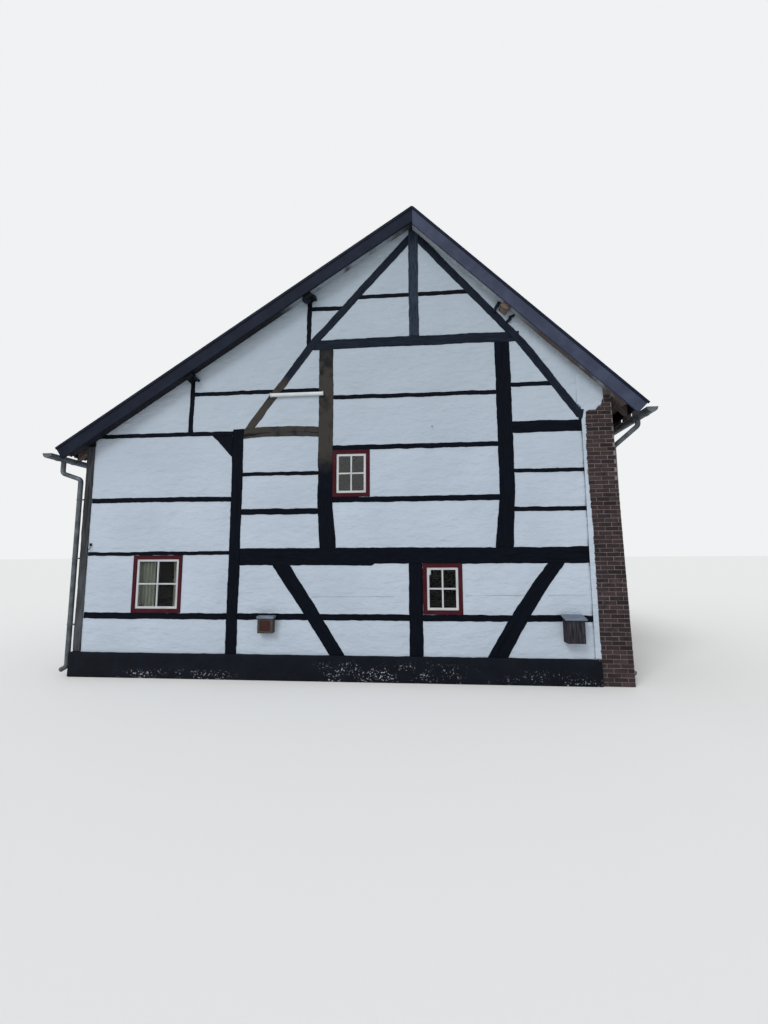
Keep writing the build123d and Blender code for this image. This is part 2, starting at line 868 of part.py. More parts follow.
# Half round gutters in butted lengths, with closed ends and an outlet over each downpipe
gutter_half = verge_half + gutter_overrun
gutter_lines = (
    (-1, gutter_places["left"], gutter_rims["left"], -half_depth + left_outlet_back),
    (1, gutter_places["right"], gutter_rims["right"], -half_depth + right_outlet_back),
)
with BuildPart() as gutters:
    for way, gutter_x, rim_z, outlet_y in gutter_lines:
        with BuildSketch(Plane.XZ.offset(gutter_half)):
            with Locations((gutter_x, rim_z)):
                Circle(gutter_radius)
                Rectangle(
                    2 * gutter_radius, gutter_radius, align=(Align.CENTER, Align.MIN), mode=Mode.SUBTRACT
                )
        extrude(amount=-2 * gutter_half)
        with BuildSketch(Plane.XZ.offset(gutter_half - gutter_sheet)):
            with Locations((gutter_x, rim_z)):
                Circle(gutter_radius - gutter_sheet)
        extrude(amount=-2 * (gutter_half - gutter_sheet), mode=Mode.SUBTRACT)
        with BuildSketch(Plane.XY.offset(rim_z)):
            with Locations((gutter_x, outlet_y)):
                Circle(pipe_radius - pipe_sheet)
            for joint in range(1, gutter_count):
                with Locations((gutter_x, -gutter_half + 2 * gutter_half * joint / gutter_count)):
                    Rectangle(3 * gutter_radius, gutter_joint_gap)
        extrude(amount=-gutter_radius, mode=Mode.SUBTRACT)
gutters.part.label = "gutters"
export_step(gutters.part, "parts/gutters.step")

# A strap under the gutter at every rafter, with an arm back to the rafter's tail
with BuildPart() as gutter_brackets:
    for way, gutter_x, rim_z, outlet_y in gutter_lines:
        tail = tails["left" if way < 0 else "right"]
        inner_rim = gutter_x - way * gutter_radius
        for place in rafter_places:
            with BuildSketch(Plane.XZ.offset(-place + bracket_width / 2)):
                with Locations((gutter_x, rim_z)):
                    Circle(gutter_radius + bracket_strap)
                    Rectangle(
                        3 * gutter_radius, 3 * gutter_radius, align=(Align.CENTER, Align.MIN), mode=Mode.SUBTRACT
                    )
                draw([upright(
                    min(inner_rim, tail),
                    max(inner_rim, tail),
                    rim_z - bracket_arm_height,
                    rim_z + gutter_gap,
                )])
                with Locations((gutter_x, rim_z)):
                    Circle(gutter_radius, mode=Mode.SUBTRACT)
            extrude(amount=-bracket_width)
gutter_brackets.part.label = "gutter_brackets"
export_step(gutter_brackets.part, "parts/gutter_brackets.step")

# Downpipes: straight outlet, swan neck to the wall, long drop and a shoe at the foot
left_pipe_x = left_face - pipe_wall_gap - pipe_radius
right_pipe_x = brick_foot_face + pipe_wall_gap + pipe_radius
left_pipe_y = -half_depth + left_pipe_back
right_pipe_y = -half_depth + right_pipe_back
pipe_lines = (
    (*gutter_lines[0], left_pipe_x, left_pipe_y, left_outlet_drop, left_swan_fall),
    (*gutter_lines[1], right_pipe_x, right_pipe_y, right_outlet_drop, right_swan_fall),
)
with BuildPart() as downpipes:
    for way, gutter_x, rim_z, outlet_y, pipe_x, pipe_y, outlet_drop, swan_fall in pipe_lines:
        swan_z = rim_z - gutter_radius - outlet_drop
        with BuildLine() as pipe_line:
            FilletPolyline(
                (gutter_x, outlet_y, rim_z - gutter_radius / 2),
                (gutter_x, outlet_y, swan_z),
                (pipe_x, pipe_y, swan_z - swan_fall),
                (pipe_x, pipe_y, pipe_foot_z),
                (pipe_x + way * pipe_shoe_reach, pipe_y, pipe_foot_z - pipe_shoe_fall),
                radius=pipe_bend_radius,
            )
        with BuildSketch(Plane(origin=pipe_line.line @ 0, z_dir=pipe_line.line % 0)):
            Circle(pipe_radius)
            Circle(pipe_radius - pipe_sheet, mode=Mode.SUBTRACT)
        sweep()
        with BuildSketch(Plane.XZ.offset(-outlet_y + 2 * pipe_radius)):
            with Locations((gutter_x, rim_z)):
                Circle(gutter_radius)
        extrude(amount=-4 * pipe_radius, mode=Mode.SUBTRACT)
downpipes.part.label = "downpipes"
export_step(downpipes.part, "parts/downpipes.step")

with BuildPart() as pipe_clips:
    for way, gutter_x, rim_z, outlet_y, pipe_x, pipe_y, outlet_drop, swan_fall in pipe_lines:
        for level in clip_levels:
            wall_x = left_face if way < 0 else brick_foot_face - brick_batter * level / brick_top
            with BuildSketch(Plane.XY.offset(level)):
                with Locations((pipe_x, pipe_y)):
                    Circle(pipe_radius + clip_sheet)
                draw([upright(
                    min(wall_x, pipe_x),
                    max(wall_x, pipe_x),
                    pipe_y - clip_arm_width / 2,
                    pipe_y + clip_arm_width / 2,
                )])
                with Locations((pipe_x, pipe_y)):
                    Circle(pipe_radius, mode=Mode.SUBTRACT)
            extrude(amount=clip_height)
pipe_clips.part.label = "pipe_clips"
export_step(pipe_clips.part, "parts/pipe_clips.step")

# Windows of all four walls: a fixed frame, a closed sash in it and a pane in the sash
wall_windows = (
    (front_face, -1, gable_windows),
    (back_face, 1, gable_windows),
    (side_plane, 1, side_windows),
    (brick_frame_plane, -1, brick_windows),
)
with BuildPart() as window_frames:
    for plane, inward, windows in wall_windows:
        with BuildSketch(plane):
            draw([opening(window) for window in windows], [opening(window, frame_member) for window in windows])
        extrude(amount=inward * frame_depth)
window_frames.part.label = "window_frames"
export_step(window_frames.part, "parts/window_frames.step")

glass_margin = frame_member + sash_member
with BuildPart() as window_sashes:
    for plane, inward, windows in wall_windows:
        with BuildSketch(plane.offset(inward * sash_recess)):
            draw(
                [opening(window, frame_member) for window in windows],
                [opening(window, glass_margin) for window in windows],
            )
        extrude(amount=inward * sash_depth)
window_sashes.part.label = "window_sashes"
export_step(window_sashes.part, "parts/window_sashes.step")

with BuildPart() as window_panes:
    for plane, inward, windows in wall_windows:
        with BuildSketch(plane.offset(inward * (sash_recess + (sash_depth - pane_thickness) / 2))):
            draw([opening(window, glass_margin) for window in windows])
        extrude(amount=inward * pane_thickness)
window_panes.part.label = "window_panes"
export_step(window_panes.part, "parts/window_panes.step")

# Plank door, closed in its frame, in the brick wall
door_left, door_bottom, door_width, door_height = doorway
door_leaf = upright(
    door_left + frame_member,
    door_left + door_width - frame_member,
    door_bottom,
    door_bottom + door_height - frame_member,
)
with BuildPart() as door_frame:
    with BuildSketch(brick_frame_plane):
        draw([opening(doorway)], [door_leaf])
    extrude(amount=-frame_depth)
door_frame.part.label = "door_frame"
export_step(door_frame.part, "parts/door_frame.step")

with BuildPart() as plank_door:
    with BuildSketch(brick_frame_plane.offset(-sash_recess)):
        draw([door_leaf])
    extrude(amount=-door_thickness)
plank_door.part.label = "plank_door"
export_step(plank_door.part, "parts/plank_door.step")

# Things fixed to the front gable: a nest box, a small box, their lids and a strip lamp
front_y = -half_depth
nest_top = nest_bottom + nest_height
with BuildPart() as nest_box:
    with BuildSketch(Plane.YZ.offset(nest_left)):
        draw([(
            (front_y, nest_bottom),
            (front_y, nest_top),
            (front_y - nest_depth, nest_top - nest_lid_fall),
            (front_y - nest_depth, nest_bottom),
        )])
    extrude(amount=nest_width)
nest_box.part.label = "nest_box"
export_step(nest_box.part, "parts/nest_box.step")

with BuildPart() as small_box:
    with BuildSketch(front_face):
        draw([rail(box_left, box_left + box_width, (box_bottom, box_height))])
    extrude(amount=box_depth)
small_box.part.label = "small_box"
export_step(small_box.part, "parts/small_box.step")

nest_lid_reach = nest_depth + lid_overhang
nest_lid_front = nest_top - nest_lid_fall * nest_lid_reach / nest_depth
with BuildPart() as box_lids:
    with BuildSketch(Plane.YZ.offset(nest_left - lid_overhang)):
        draw([(
            (front_y, nest_top),
            (front_y, nest_top + nest_lid_thickness),
            (front_y - nest_lid_reach, nest_lid_front + nest_lid_thickness),
            (front_y - nest_lid_reach, nest_lid_front),
        )])
    extrude(amount=nest_width + 2 * lid_overhang)
    with BuildSketch(front_face):
        draw([rail(
            box_left - lid_overhang / 2,
            box_left + box_width + lid_overhang / 2,
            (box_bottom + box_height, box_lid_thickness),
        )])
    extrude(amount=box_depth + lid_overhang / 2)
box_lids.part.label = "box_lids"
export_step(box_lids.part, "parts/box_lids.step")

with BuildPart() as wall_lamp:
    with BuildSketch(front_face):
        draw([rail(lamp_left, lamp_left + lamp_length, (lamp_bottom, lamp_height))])
    extrude(amount=lamp_depth)
wall_lamp.part.label = "wall_lamp"
export_step(wall_lamp.part, "parts/wall_lamp.step")
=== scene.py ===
"""Looks of a half timbered house: lime washed panels, tarred timbers, bricks, pantiles and small windows."""

import logging
import math
import random
from collections.abc import Callable, Iterable, Sequence
from dataclasses import dataclass, field
from enum import Enum
from functools import cache

import bmesh
import bpy
import numpy as np
from mathutils import Matrix, Vector, noise
from mathutils.bvhtree import BVHTree


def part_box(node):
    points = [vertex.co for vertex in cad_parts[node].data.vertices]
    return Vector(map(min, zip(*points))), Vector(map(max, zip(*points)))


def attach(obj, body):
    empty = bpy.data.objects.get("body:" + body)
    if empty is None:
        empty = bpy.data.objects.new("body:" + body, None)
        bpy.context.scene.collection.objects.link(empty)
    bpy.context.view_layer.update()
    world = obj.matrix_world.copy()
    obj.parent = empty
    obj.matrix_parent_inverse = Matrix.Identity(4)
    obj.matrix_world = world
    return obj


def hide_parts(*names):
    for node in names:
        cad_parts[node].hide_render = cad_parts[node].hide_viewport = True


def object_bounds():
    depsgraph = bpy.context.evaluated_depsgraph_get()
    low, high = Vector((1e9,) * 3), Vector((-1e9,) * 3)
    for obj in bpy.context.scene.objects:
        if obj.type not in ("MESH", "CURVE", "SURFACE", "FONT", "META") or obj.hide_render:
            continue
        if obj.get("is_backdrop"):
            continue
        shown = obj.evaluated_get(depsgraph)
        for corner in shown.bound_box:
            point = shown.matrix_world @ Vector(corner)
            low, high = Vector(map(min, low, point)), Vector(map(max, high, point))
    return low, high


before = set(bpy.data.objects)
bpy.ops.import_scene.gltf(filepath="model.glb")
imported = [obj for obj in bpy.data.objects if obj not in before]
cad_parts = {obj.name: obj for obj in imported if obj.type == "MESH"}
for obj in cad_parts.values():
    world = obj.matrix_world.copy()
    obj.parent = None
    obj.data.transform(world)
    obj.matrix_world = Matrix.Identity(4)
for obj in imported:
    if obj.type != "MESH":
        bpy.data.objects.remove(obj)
CAD_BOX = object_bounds()
LOG = logging.getLogger("house")
NOISE_SEED = 7

Form = bmesh.types.BMesh
Mesh = bpy.types.Mesh
Piece = bpy.types.Object
Socket = bpy.types.NodeSocket
Tree = bpy.types.NodeTree

# Lengths are in metres. X runs along the gable, Y from the front gable to the back one, Z up.
X, Y, Z = Vector((1, 0, 0)), Vector((0, 1, 0)), Vector((0, 0, 1))


class Slope(Enum):
    """The two slopes of the roof, each with the way it falls along X and its pitch in degrees."""

    LEFT = (-1, 33.5)
    RIGHT = (1, 44.8)

    @property
    def way(self) -> int:
        """The sign of X on this side of the ridge."""
        return self.value[0]

    @property
    def pitch(self) -> float:
        """The pitch in radians."""
        return math.radians(self.value[1])

    @property
    def down(self) -> Vector:
        """The direction down the slope."""
        return Vector((self.way * math.cos(self.pitch), 0, -math.sin(self.pitch)))

    @property
    def out(self) -> Vector:
        """The direction square out of the slope."""
        return Vector((self.way * math.sin(self.pitch), 0, math.cos(self.pitch)))


class Gable(Enum):
    """The two gables, each with the sign of Y of its outer face."""

    FRONT = -1
    BACK = 1


@dataclass(frozen=True)
class House:
    """Sizes of the walls and the roof that several pieces share."""

    half_depth: float = 5.7
    inner_half_depth: float = 5.52
    verge_half: float = 5.9
    covering_half: float = 5.868
    left_face: float = -4.885
    brick_inner: float = 4.285
    brick_foot: float = 4.885
    brick_head: float = 4.795
    brick_top: float = 4.85
    plinth_top: float = 0.43
    ridge_x: float = 1.373
    ridge_z: float = 8.625
    covering: float = 0.06
    left_eave: float = -5.345
    right_eave: float = 5.319
    infill_recess: float = 0.012
    corner_post_inner: float = -4.717
    under_soffit: float = 0.22

    def slope_height(self, slope: Slope, x: float, below: float = 0.0) -> float:
        """The height of the plane that lies square below a slope's surface, at a place across the house."""
        return self.ridge_z - abs(x - self.ridge_x) * math.tan(slope.pitch) - below / math.cos(slope.pitch)

    def slope_place(self, slope: Slope, z: float, below: float = 0.0) -> float:
        """The place across the house where the plane below a slope's surface reaches a height."""
        run = (self.ridge_z - z - below / math.cos(slope.pitch)) / math.tan(slope.pitch)
        return self.ridge_x + slope.way * run

    def slope_length(self, slope: Slope) -> float:
        """The length of a slope from the ridge to its eave."""
        eave = self.left_eave if slope is Slope.LEFT else self.right_eave
        return abs(eave - self.ridge_x) / math.cos(slope.pitch)


HOUSE = House()


@dataclass(frozen=True)
class Openings:
    """The windows and the doorway: left edge, bottom, width and height of each, along the wall and up."""

    gable: tuple = ((1.475, 1.13, 0.68, 0.87), (-0.125, 3.19, 0.68, 0.86), (-3.815, 1.13, 0.94, 1.03))
    side: tuple = ((-1.895, 1.13, 0.94, 1.03), (0.955, 1.13, 0.94, 1.03))
    brick: tuple = (
        *((left, 1.0, 0.9, 1.05) for left in (-4.55, -2.35, 3.45)),
        *((left, 3.15, 0.7, 0.8) for left in (-4.45, -1.75, 1.05, 3.75)),
    )
    doorway: tuple = (0.575, 0.12, 1.05, 1.95)


OPENINGS = Openings()


# Materials


def linear(code: str) -> tuple[float, float, float, float]:
    """Turns an sRGB hex colour, six digits after a hash, into the linear colour that a shader takes."""
    parts = [int(code[place : place + 2], 16) / 255 for place in (1, 3, 5)]
    return *(part / 12.92 if part <= 0.04045 else ((part + 0.055) / 1.055) ** 2.4 for part in parts), 1.0


def add(tree: Tree, kind: str, inputs: dict | None = None, **settings) -> bpy.types.Node:
    """Adds a node with its settings, and fills or links its inputs.

    Args:
        tree: The node tree that gets the node.
        kind: The node's type name.
        inputs: Values or output sockets, by the name or number of the input.
        settings: Attributes of the node, and stops for the places and colours of a colour ramp.

    Returns:
        The new node.
    """
    made = tree.nodes.new(kind)
    for name, value in settings.items():
        if name == "stops":
            elements = made.color_ramp.elements
            elements.remove(elements[1])
            elements[0].position, elements[0].color = value[0][0], linear(value[0][1])
            for place, code in value[1:]:
                elements.new(place).color = linear(code)
        else:
            setattr(made, name, value)
    for name, value in (inputs or {}).items():
        if isinstance(value, Socket):
            tree.links.new(value, made.inputs[name])
        else:
            made.inputs[name].default_value = value
    return made


def fleck(
    tree: Tree,
    vector: Socket,
    size: float,
    low: float,
    high: float,
    detail: float = 3.0,
    stretch: Sequence[float] = (1.0, 1.0, 1.0),
) -> Socket:
    """A noise of a given size in metres, spread to run from nought at low to one at high.

    Args:
        tree: The material's node tree.
        vector: The coordinates, in metres.
        size: The size of one patch.
        low: The noise that gives nought.
        high: The noise that gives one.
        detail: How many finer noises are laid over it.
        stretch: A share of each axis, below one to draw the patches out along it.

    Returns:
        The spread noise.
    """
    scale = tuple(share / size for share in stretch)
    laid = add(tree, "ShaderNodeMapping", {"Vector": vector, "Scale": scale}).outputs["Vector"]
    grain = add(tree, "ShaderNodeTexNoise", {"Vector": laid, "Scale": 1.0, "Detail": detail}).outputs["Fac"]
    return spread(tree, grain, low, high)


def spread(tree: Tree, value: Socket, low: float, high: float) -> Socket:
    """A value spread to run from nought at low to one at high."""
    return add(tree, "ShaderNodeMapRange", {0: value, 1: low, 2: high}).outputs["Result"]


def both(tree: Tree, first: Socket, second: Socket, operation: str = "MULTIPLY") -> Socket:
    """Two values brought together, multiplied if nothing else is asked for."""
    return add(tree, "ShaderNodeMath", {0: first, 1: second}, operation=operation).outputs[0]


def with_bare(tree: Tree, first: Socket, place: Socket, size: float) -> Socket:
    """The greater of a share and the share that a piece's own bare places give, broken up by a noise."""
    given = add(tree, "ShaderNodeAttribute", attribute_name="bare").outputs["Fac"]
    return both(tree, first, both(tree, given, fleck(tree, place, size, 0.22, 0.5, 6)), "MAXIMUM")


def shine(roughness: float, gloss: float) -> dict[str, float]:
    """The shader's values for how rough and how glossy a face is."""
    return {"Roughness": roughness, "Specular IOR Level": gloss}


@dataclass(frozen=True)
class Look:
    """What a finish gives its shader: a ground colour, coats, bumps and plain values.

    Each coat is a share and a hex colour, from the lowest up. Each bump is a height between nought and one
    and its depth in metres.
    """

    ground: str | Socket
    coats: tuple = ()
    bumps: tuple = ()
    values: dict = field(default_factory=dict)


@dataclass(frozen=True)
class Finish:
    """What every finish shares: a name, and the way its material is made."""

    name: str

    def look(self, tree: Tree, place: Socket) -> Look:
        """Lays the finish's patterns, at places in metres, and says how they're used."""
        raise NotImplementedError

    @cache
    def build(self) -> bpy.types.Material:
        """Makes the material once, with its coats and bumps, and returns it each time."""
        material = bpy.data.materials.new(self.name)
        material.use_nodes = True
        tree = material.node_tree
        tree.nodes.clear()
        look = self.look(tree, add(tree, "ShaderNodeTexCoord").outputs["Object"])
        tone = linear(look.ground) if isinstance(look.ground, str) else look.ground
        for share, code in look.coats:
            inputs = {0: share, 6: tone, 7: linear(code)}
            tone = add(tree, "ShaderNodeMix", inputs, data_type="RGBA").outputs[2]
        normal = {}
        for height, depth in look.bumps:
            inputs = {"Height": height, "Distance": depth, "Strength": 1.0, **normal}
            normal = {"Normal": add(tree, "ShaderNodeBump", inputs).outputs["Normal"]}
        shader = add(tree, "ShaderNodeBsdfPrincipled", {"Base Color": tone, **look.values, **normal})
        add(tree, "ShaderNodeOutputMaterial", {"Surface": shader.outputs["BSDF"]})
        return material


@dataclass(frozen=True)
class Wood(Finish):
    """Sawn or hewn wood with its grain along the piece, read from the piece's own grain coordinates.

    The eye gets long fine fibres, a few open checks and patches where the coat has worn to another tone.
    """

    dark: str = "#03060D"
    pale: str = "#0A101C"
    worn: str = "#3B3936"
    worn_from: float = 0.72
    worn_to: float = 0.8
    fibre: float = 0.012
    check_depth: float = 0.004
    roughness: float = 0.8

    def look(self, tree: Tree, place: Socket) -> Look:
        """Lays fibres, worn patches and checks along the grain."""
        grain = add(tree, "ShaderNodeAttribute", attribute_name="grain").outputs["Vector"]
        fibres = fleck(tree, grain, self.fibre, 0.35, 0.65, 4, (1, 1, 0.06))
        checks = fleck(tree, grain, self.fibre * 3, 0.66, 0.7, 2, (1, 1, 0.035))
        patches = fleck(tree, place, 0.8, self.worn_from, self.worn_to, 6, (1, 1, 0.6))
        patches = with_bare(tree, patches, place, 0.2)
        coats = ((fibres, self.pale), (patches, self.worn), (checks, self.dark))
        bumps = ((fibres, 0.0015), (checks, -self.check_depth))
        return Look(self.dark, coats, bumps, shine(self.roughness, 0.08))


@dataclass(frozen=True)
class LimeWash(Finish):
    """Many coats of brushed lime wash over daub.

    The eye gets an even chalky cool white with short level ripples, faint brush streaks, small chips and
    a tone that grows darker and greener the higher it is.
    """

    # The two ground tones below are the wash's white drawn as a cool blue grey: painted shade of a wall that
    # stands out of the sun.
    light: str = "#B9C4D1"
    shade: str = "#AEBAC7"
    chip: str = "#858C94"
    upper_tone: str = "#94A2AB"
    upper_tone_levels: tuple[float, float] = (3.0, 10.0)
    lump: float = 0.016

    def look(self, tree: Tree, place: Socket) -> Look:
        """Lays stains, a darker tone higher up, level streaks, chips and ripples."""
        stains = fleck(tree, place, 0.9, 0.3, 0.75, 4)
        streaks = fleck(tree, place, 0.06, 0.55, 0.85, 3, (0.4, 0.4, 1))
        chips = fleck(tree, place, 0.025, 0.76, 0.79, 2)
        ripples = fleck(tree, place, 0.09, 0.2, 0.8, 2, (0.45, 0.45, 1))
        dents = fleck(tree, place, 0.03, 0.2, 0.8, 2, (0.7, 0.7, 1))
        # The wash is drawn darker and greener the higher the wall stands.
        level = add(tree, "ShaderNodeSeparateXYZ", {"Vector": place}).outputs["Z"]
        upper_tone = spread(tree, level, *self.upper_tone_levels)
        coats = ((stains, self.shade), (upper_tone, self.upper_tone), (streaks, self.shade), (chips, self.chip))
        bumps = ((ripples, self.lump), (dents, 0.0025), (chips, -0.002))
        return Look(self.light, coats, bumps, shine(0.92, 0.2))


@dataclass(frozen=True)
class Fired(Finish):
    """Fired clay, as bricks or tiles, each piece in its own tone.

    The eye gets pieces that differ from one another, sandy faces and darker burnt patches.
    """

    tones: tuple[str, ...] = ("#261E20", "#33292B", "#3D3132", "#473A39")
    burnt: str = "#1D181B"
    bloom: str = "#4E4443"
    bloom_from: float = 0.72
    sand: float = 0.006
    roughness: float = 0.88

    def look(self, tree: Tree, place: Socket) -> Look:
        """Gives each piece its tone, then burnt patches, a pale bloom and sandy relief."""
        tone = add(tree, "ShaderNodeAttribute", attribute_name="tone").outputs["Fac"]
        steps = [(number / (len(self.tones) - 1), code) for number, code in enumerate(self.tones)]
        ground = add(tree, "ShaderNodeValToRGB", {"Fac": tone}, stops=steps).outputs["Color"]
        patches = fleck(tree, place, 0.09, 0.52, 0.75, 4)
        blooms = fleck(tree, place, 0.05, self.bloom_from, self.bloom_from + 0.14, 6)
        sand = fleck(tree, place, self.sand, 0.3, 0.7, 2)
        coats = ((patches, self.burnt), (blooms, self.bloom))
        return Look(ground, coats, ((patches, -0.0015), (sand, 0.0008)), shine(self.roughness, 0.2))


@dataclass(frozen=True)
class Mineral(Finish):
    """Mortar, tar or stone: a ground tone with patches and flakes of two others.

    The eye gets a rough, spotted mass with flakes where the coat has come off, in clusters below a level.
    """

    ground: str = "#7A7372"
    patch: str = "#665F5E"
    flake: str = "#8C8584"
    patch_size: float = 0.12
    flake_size: float = 0.015
    flake_from: float = 0.62
    flake_top: float = 100.0
    flakes_where_bare: bool = False
    lump_size: float = 0.03
    lump: float = 0.002
    roughness: float = 0.9
    gloss: float = 0.2

    def look(self, tree: Tree, place: Socket) -> Look:
        """Lays patches, flakes and lumps."""
        patches = fleck(tree, place, self.patch_size, 0.42, 0.66, 5)
        flakes = fleck(tree, place, self.flake_size, self.flake_from, self.flake_from + 0.04, 5)
        flakes = both(tree, flakes, fleck(tree, place, self.flake_size * 12, 0.46, 0.6, 3))
        level = add(tree, "ShaderNodeSeparateXYZ", {"Vector": place}).outputs["Z"]
        flakes = both(tree, flakes, spread(tree, level, self.flake_top, self.flake_top * 0.5))
        if self.flakes_where_bare:
            given = add(tree, "ShaderNodeAttribute", attribute_name="bare").outputs["Fac"]
            flakes = both(tree, flakes, given)
        lumps = fleck(tree, place, self.lump_size, 0.25, 0.75, 4)
        coats = ((patches, self.patch), (flakes, self.flake))
        bumps = ((lumps, self.lump), (flakes, -0.0012))
        return Look(self.ground, coats, bumps, shine(self.roughness, self.gloss))


@dataclass(frozen=True)
class Paint(Finish):
    """Brushed oil paint on planed boards, weathered.

    The eye gets one colour with faint brush lines, paler chalking and some bare wood.
    """

    coat: str = "#3B0D16"
    chalk: str = "#481924"
    bare: str = "#40302F"
    bare_from: float = 0.74
    roughness: float = 0.65
    gloss: float = 0.12

    def look(self, tree: Tree, place: Socket) -> Look:
        """Lays chalking, wear and brush lines along the grain."""
        grain = add(tree, "ShaderNodeAttribute", attribute_name="grain").outputs["Vector"]
        lines = fleck(tree, grain, 0.004, 0.35, 0.7, 3, (1, 1, 0.05))
        chalk = fleck(tree, place, 0.25, 0.4, 0.75, 5)
        bare = fleck(tree, grain, 0.03, self.bare_from, self.bare_from + 0.03, 4, (1, 1, 0.2))
        bare = with_bare(tree, bare, place, 0.3)
        coats = ((chalk, self.chalk), (bare, self.bare))
        return Look(self.coat, coats, ((lines, 0.0003), (bare, -0.0004)), shine(self.roughness, self.gloss))


@dataclass(frozen=True)
class Zinc(Finish):
    """Rolled zinc sheet, weathered to a dull patina.

    The eye gets a soft blue grey metal with cloudy patches and pale runs.
    """

    bright: str = "#666F75"
    dull: str = "#434A50"

    def look(self, tree: Tree, place: Socket) -> Look:
        """Lays cloudy patina and runs."""
        clouds = fleck(tree, place, 0.15, 0.35, 0.7, 5)
        runs = fleck(tree, place, 0.02, 0.5, 0.75, 3, (1, 1, 0.08))
        coats = ((clouds, self.dull), (runs, self.dull))
        return Look(self.bright, coats, ((clouds, 0.0006),), {"Metallic": 0.6, "Roughness": 0.55})


@dataclass(frozen=True)
class Glass(Finish):
    """Old drawn window glass.

    The eye gets dark clear panes with a faint, slightly wavy reflection.
    """

    ior: float = 1.2

    def look(self, tree: Tree, place: Socket) -> Look:
        """Makes the glass clear and a little wavy."""
        waves = fleck(tree, place, 0.12, 0.2, 0.8, 1)
        values = {"Transmission Weight": 1.0, "Roughness": 0.03, "IOR": self.ior}
        return Look("#DCE5E0", (), ((waves, 0.0008),), values)


@dataclass(frozen=True)
class Cloth(Finish):
    """Woven cotton voile, hung as curtains.

    The eye gets a pale plain weave, drawn 4 mm coarse so that it shows, with a soft sheen.
    """

    thread: str = "#C4C1B9"
    gap: str = "#96938A"
    pitch: float = 0.004

    def look(self, tree: Tree, place: Socket) -> Look:
        """Crosses two bands of threads."""
        sheet = add(tree, "ShaderNodeUVMap", uv_map="sheet").outputs["UV"]
        inputs = {"Vector": sheet, "Scale": 1 / self.pitch / 2 / math.tau}
        bands = (add(tree, "ShaderNodeTexWave", inputs, bands_direction=way).outputs["Fac"] for way in "XY")
        weave = both(tree, *bands)
        values = {"Roughness": 0.85, "Sheen Weight": 0.3}
        return Look(self.gap, ((weave, self.thread),), ((weave, 0.0004),), values)


@dataclass(frozen=True)
class Ground(Finish):
    """The pale floor under the house.

    The eye gets an even, dull ground that takes the house's shadow.
    """

    def look(self, tree: Tree, place: Socket) -> Look:
        """Leaves one plain tone."""
        return Look("#EFEFEE", values=shine(1.0, 0.0))


# The finishes of this house, each named for its material and how it was made, some also for the shade or
# reflection painted into them
TARRED_OAK = Wood("tarred_hewn_oak")
TARRED_OAK_OLD = Wood("tarred_hewn_oak_worn", "#10151F", "#202835", "#3F3C38", worn_from=0.66)
# A paler, bluer copy of the tarred oak, for the king posts.
TARRED_OAK_HIGH = Wood("tarred_hewn_oak_paler_bluer", "#1B222E", "#343E4E", "#3A404B")
PURLIN_PINE = Wood("sawn_purlin_pine", "#0C0D12", "#17191F", "#7B6B62", 0.9, 1.0)
WEATHERED_OAK = Wood("weathered_hewn_oak", "#222427", "#45484B", "#575B5F", 0.5, 0.7, fibre=0.02)
AGED_PINE = Wood("sawn_pine_aged", "#4E4745", "#746A67", "#857B77", check_depth=0.001, roughness=0.85)
EAVE_PINE = Wood("sawn_pine_eave", "#4A4240", "#6E6360", "#857A75", check_depth=0.001, roughness=0.85)
FLOOR_PINE = Wood("sawn_pine_floor", "#6B5B49", "#9A8669", "#7F715E", check_depth=0.001)
WEATHERED_PINE = Wood(
    "weathered_pine_boards", "#1F1E22", "#403E43", "#4F4D52", check_depth=0.0015, roughness=0.85
)
BOX_PINE = Wood("weathered_pine_frame", "#37322F", "#544E49", "#605A55", check_depth=0.001)
LID_BOARDS = Wood("weathered_lid_boards", "#58626F", "#7A8695", "#8591A0", check_depth=0.001)
IRON = Wood("forged_iron_blacked", "#0D0E10", "#1B1C1F", "#33261F", fibre=0.02, check_depth=0.0002)
# The left soffit's coat and chalk are near black: painted shade over boards that are pale like the right
# ones. Its bare tone is that pale paint, shown near the ridge.
LEFT_SOFFIT_PAINTED_SHADE = Paint("painted_soffit_boards_painted_shade", "#1E1F24", "#2A2B30", "#8F979F", 0.9)
RIGHT_SOFFIT = Paint("painted_soffit_boards_bare", "#9BA3AB", "#AEB5BC", "#5F5551", 0.66)
NAVY_PAINT = Paint("painted_verge_boards_navy", "#121826", "#1C2334", "#24252A", 0.78, gloss=0.1)
# A paler slate copy of the navy verge paint for the right bargeboards: painted reflection of the sky on
# their satin coat.
VERGE_PAINT_SKY_REFLECTION = Paint("painted_verge_boards_painted_sky_reflection", "#363C4F", "#444B60", "#33353D", 0.78, gloss=0.15)
RED_PAINT = Paint("red_oil_paint")
WHITE_PAINT = Paint("white_oil_paint", "#C4C6C9", "#B2B4B7", "#8E887E", 0.78)
BROWN_PAINT = Paint("brown_box_stain", "#331D1B", "#432C29", "#5A4A40")
LAMP_PLASTIC = Paint("moulded_white_plastic", "#D3D7D9", "#C2C6C8", "#B1B4B4", 0.8, roughness=0.35)
# The outer lime wash keeps the cool blue grey tones above, painted shade over its white.
LIME_WASH = LimeWash("brushed_lime_wash")
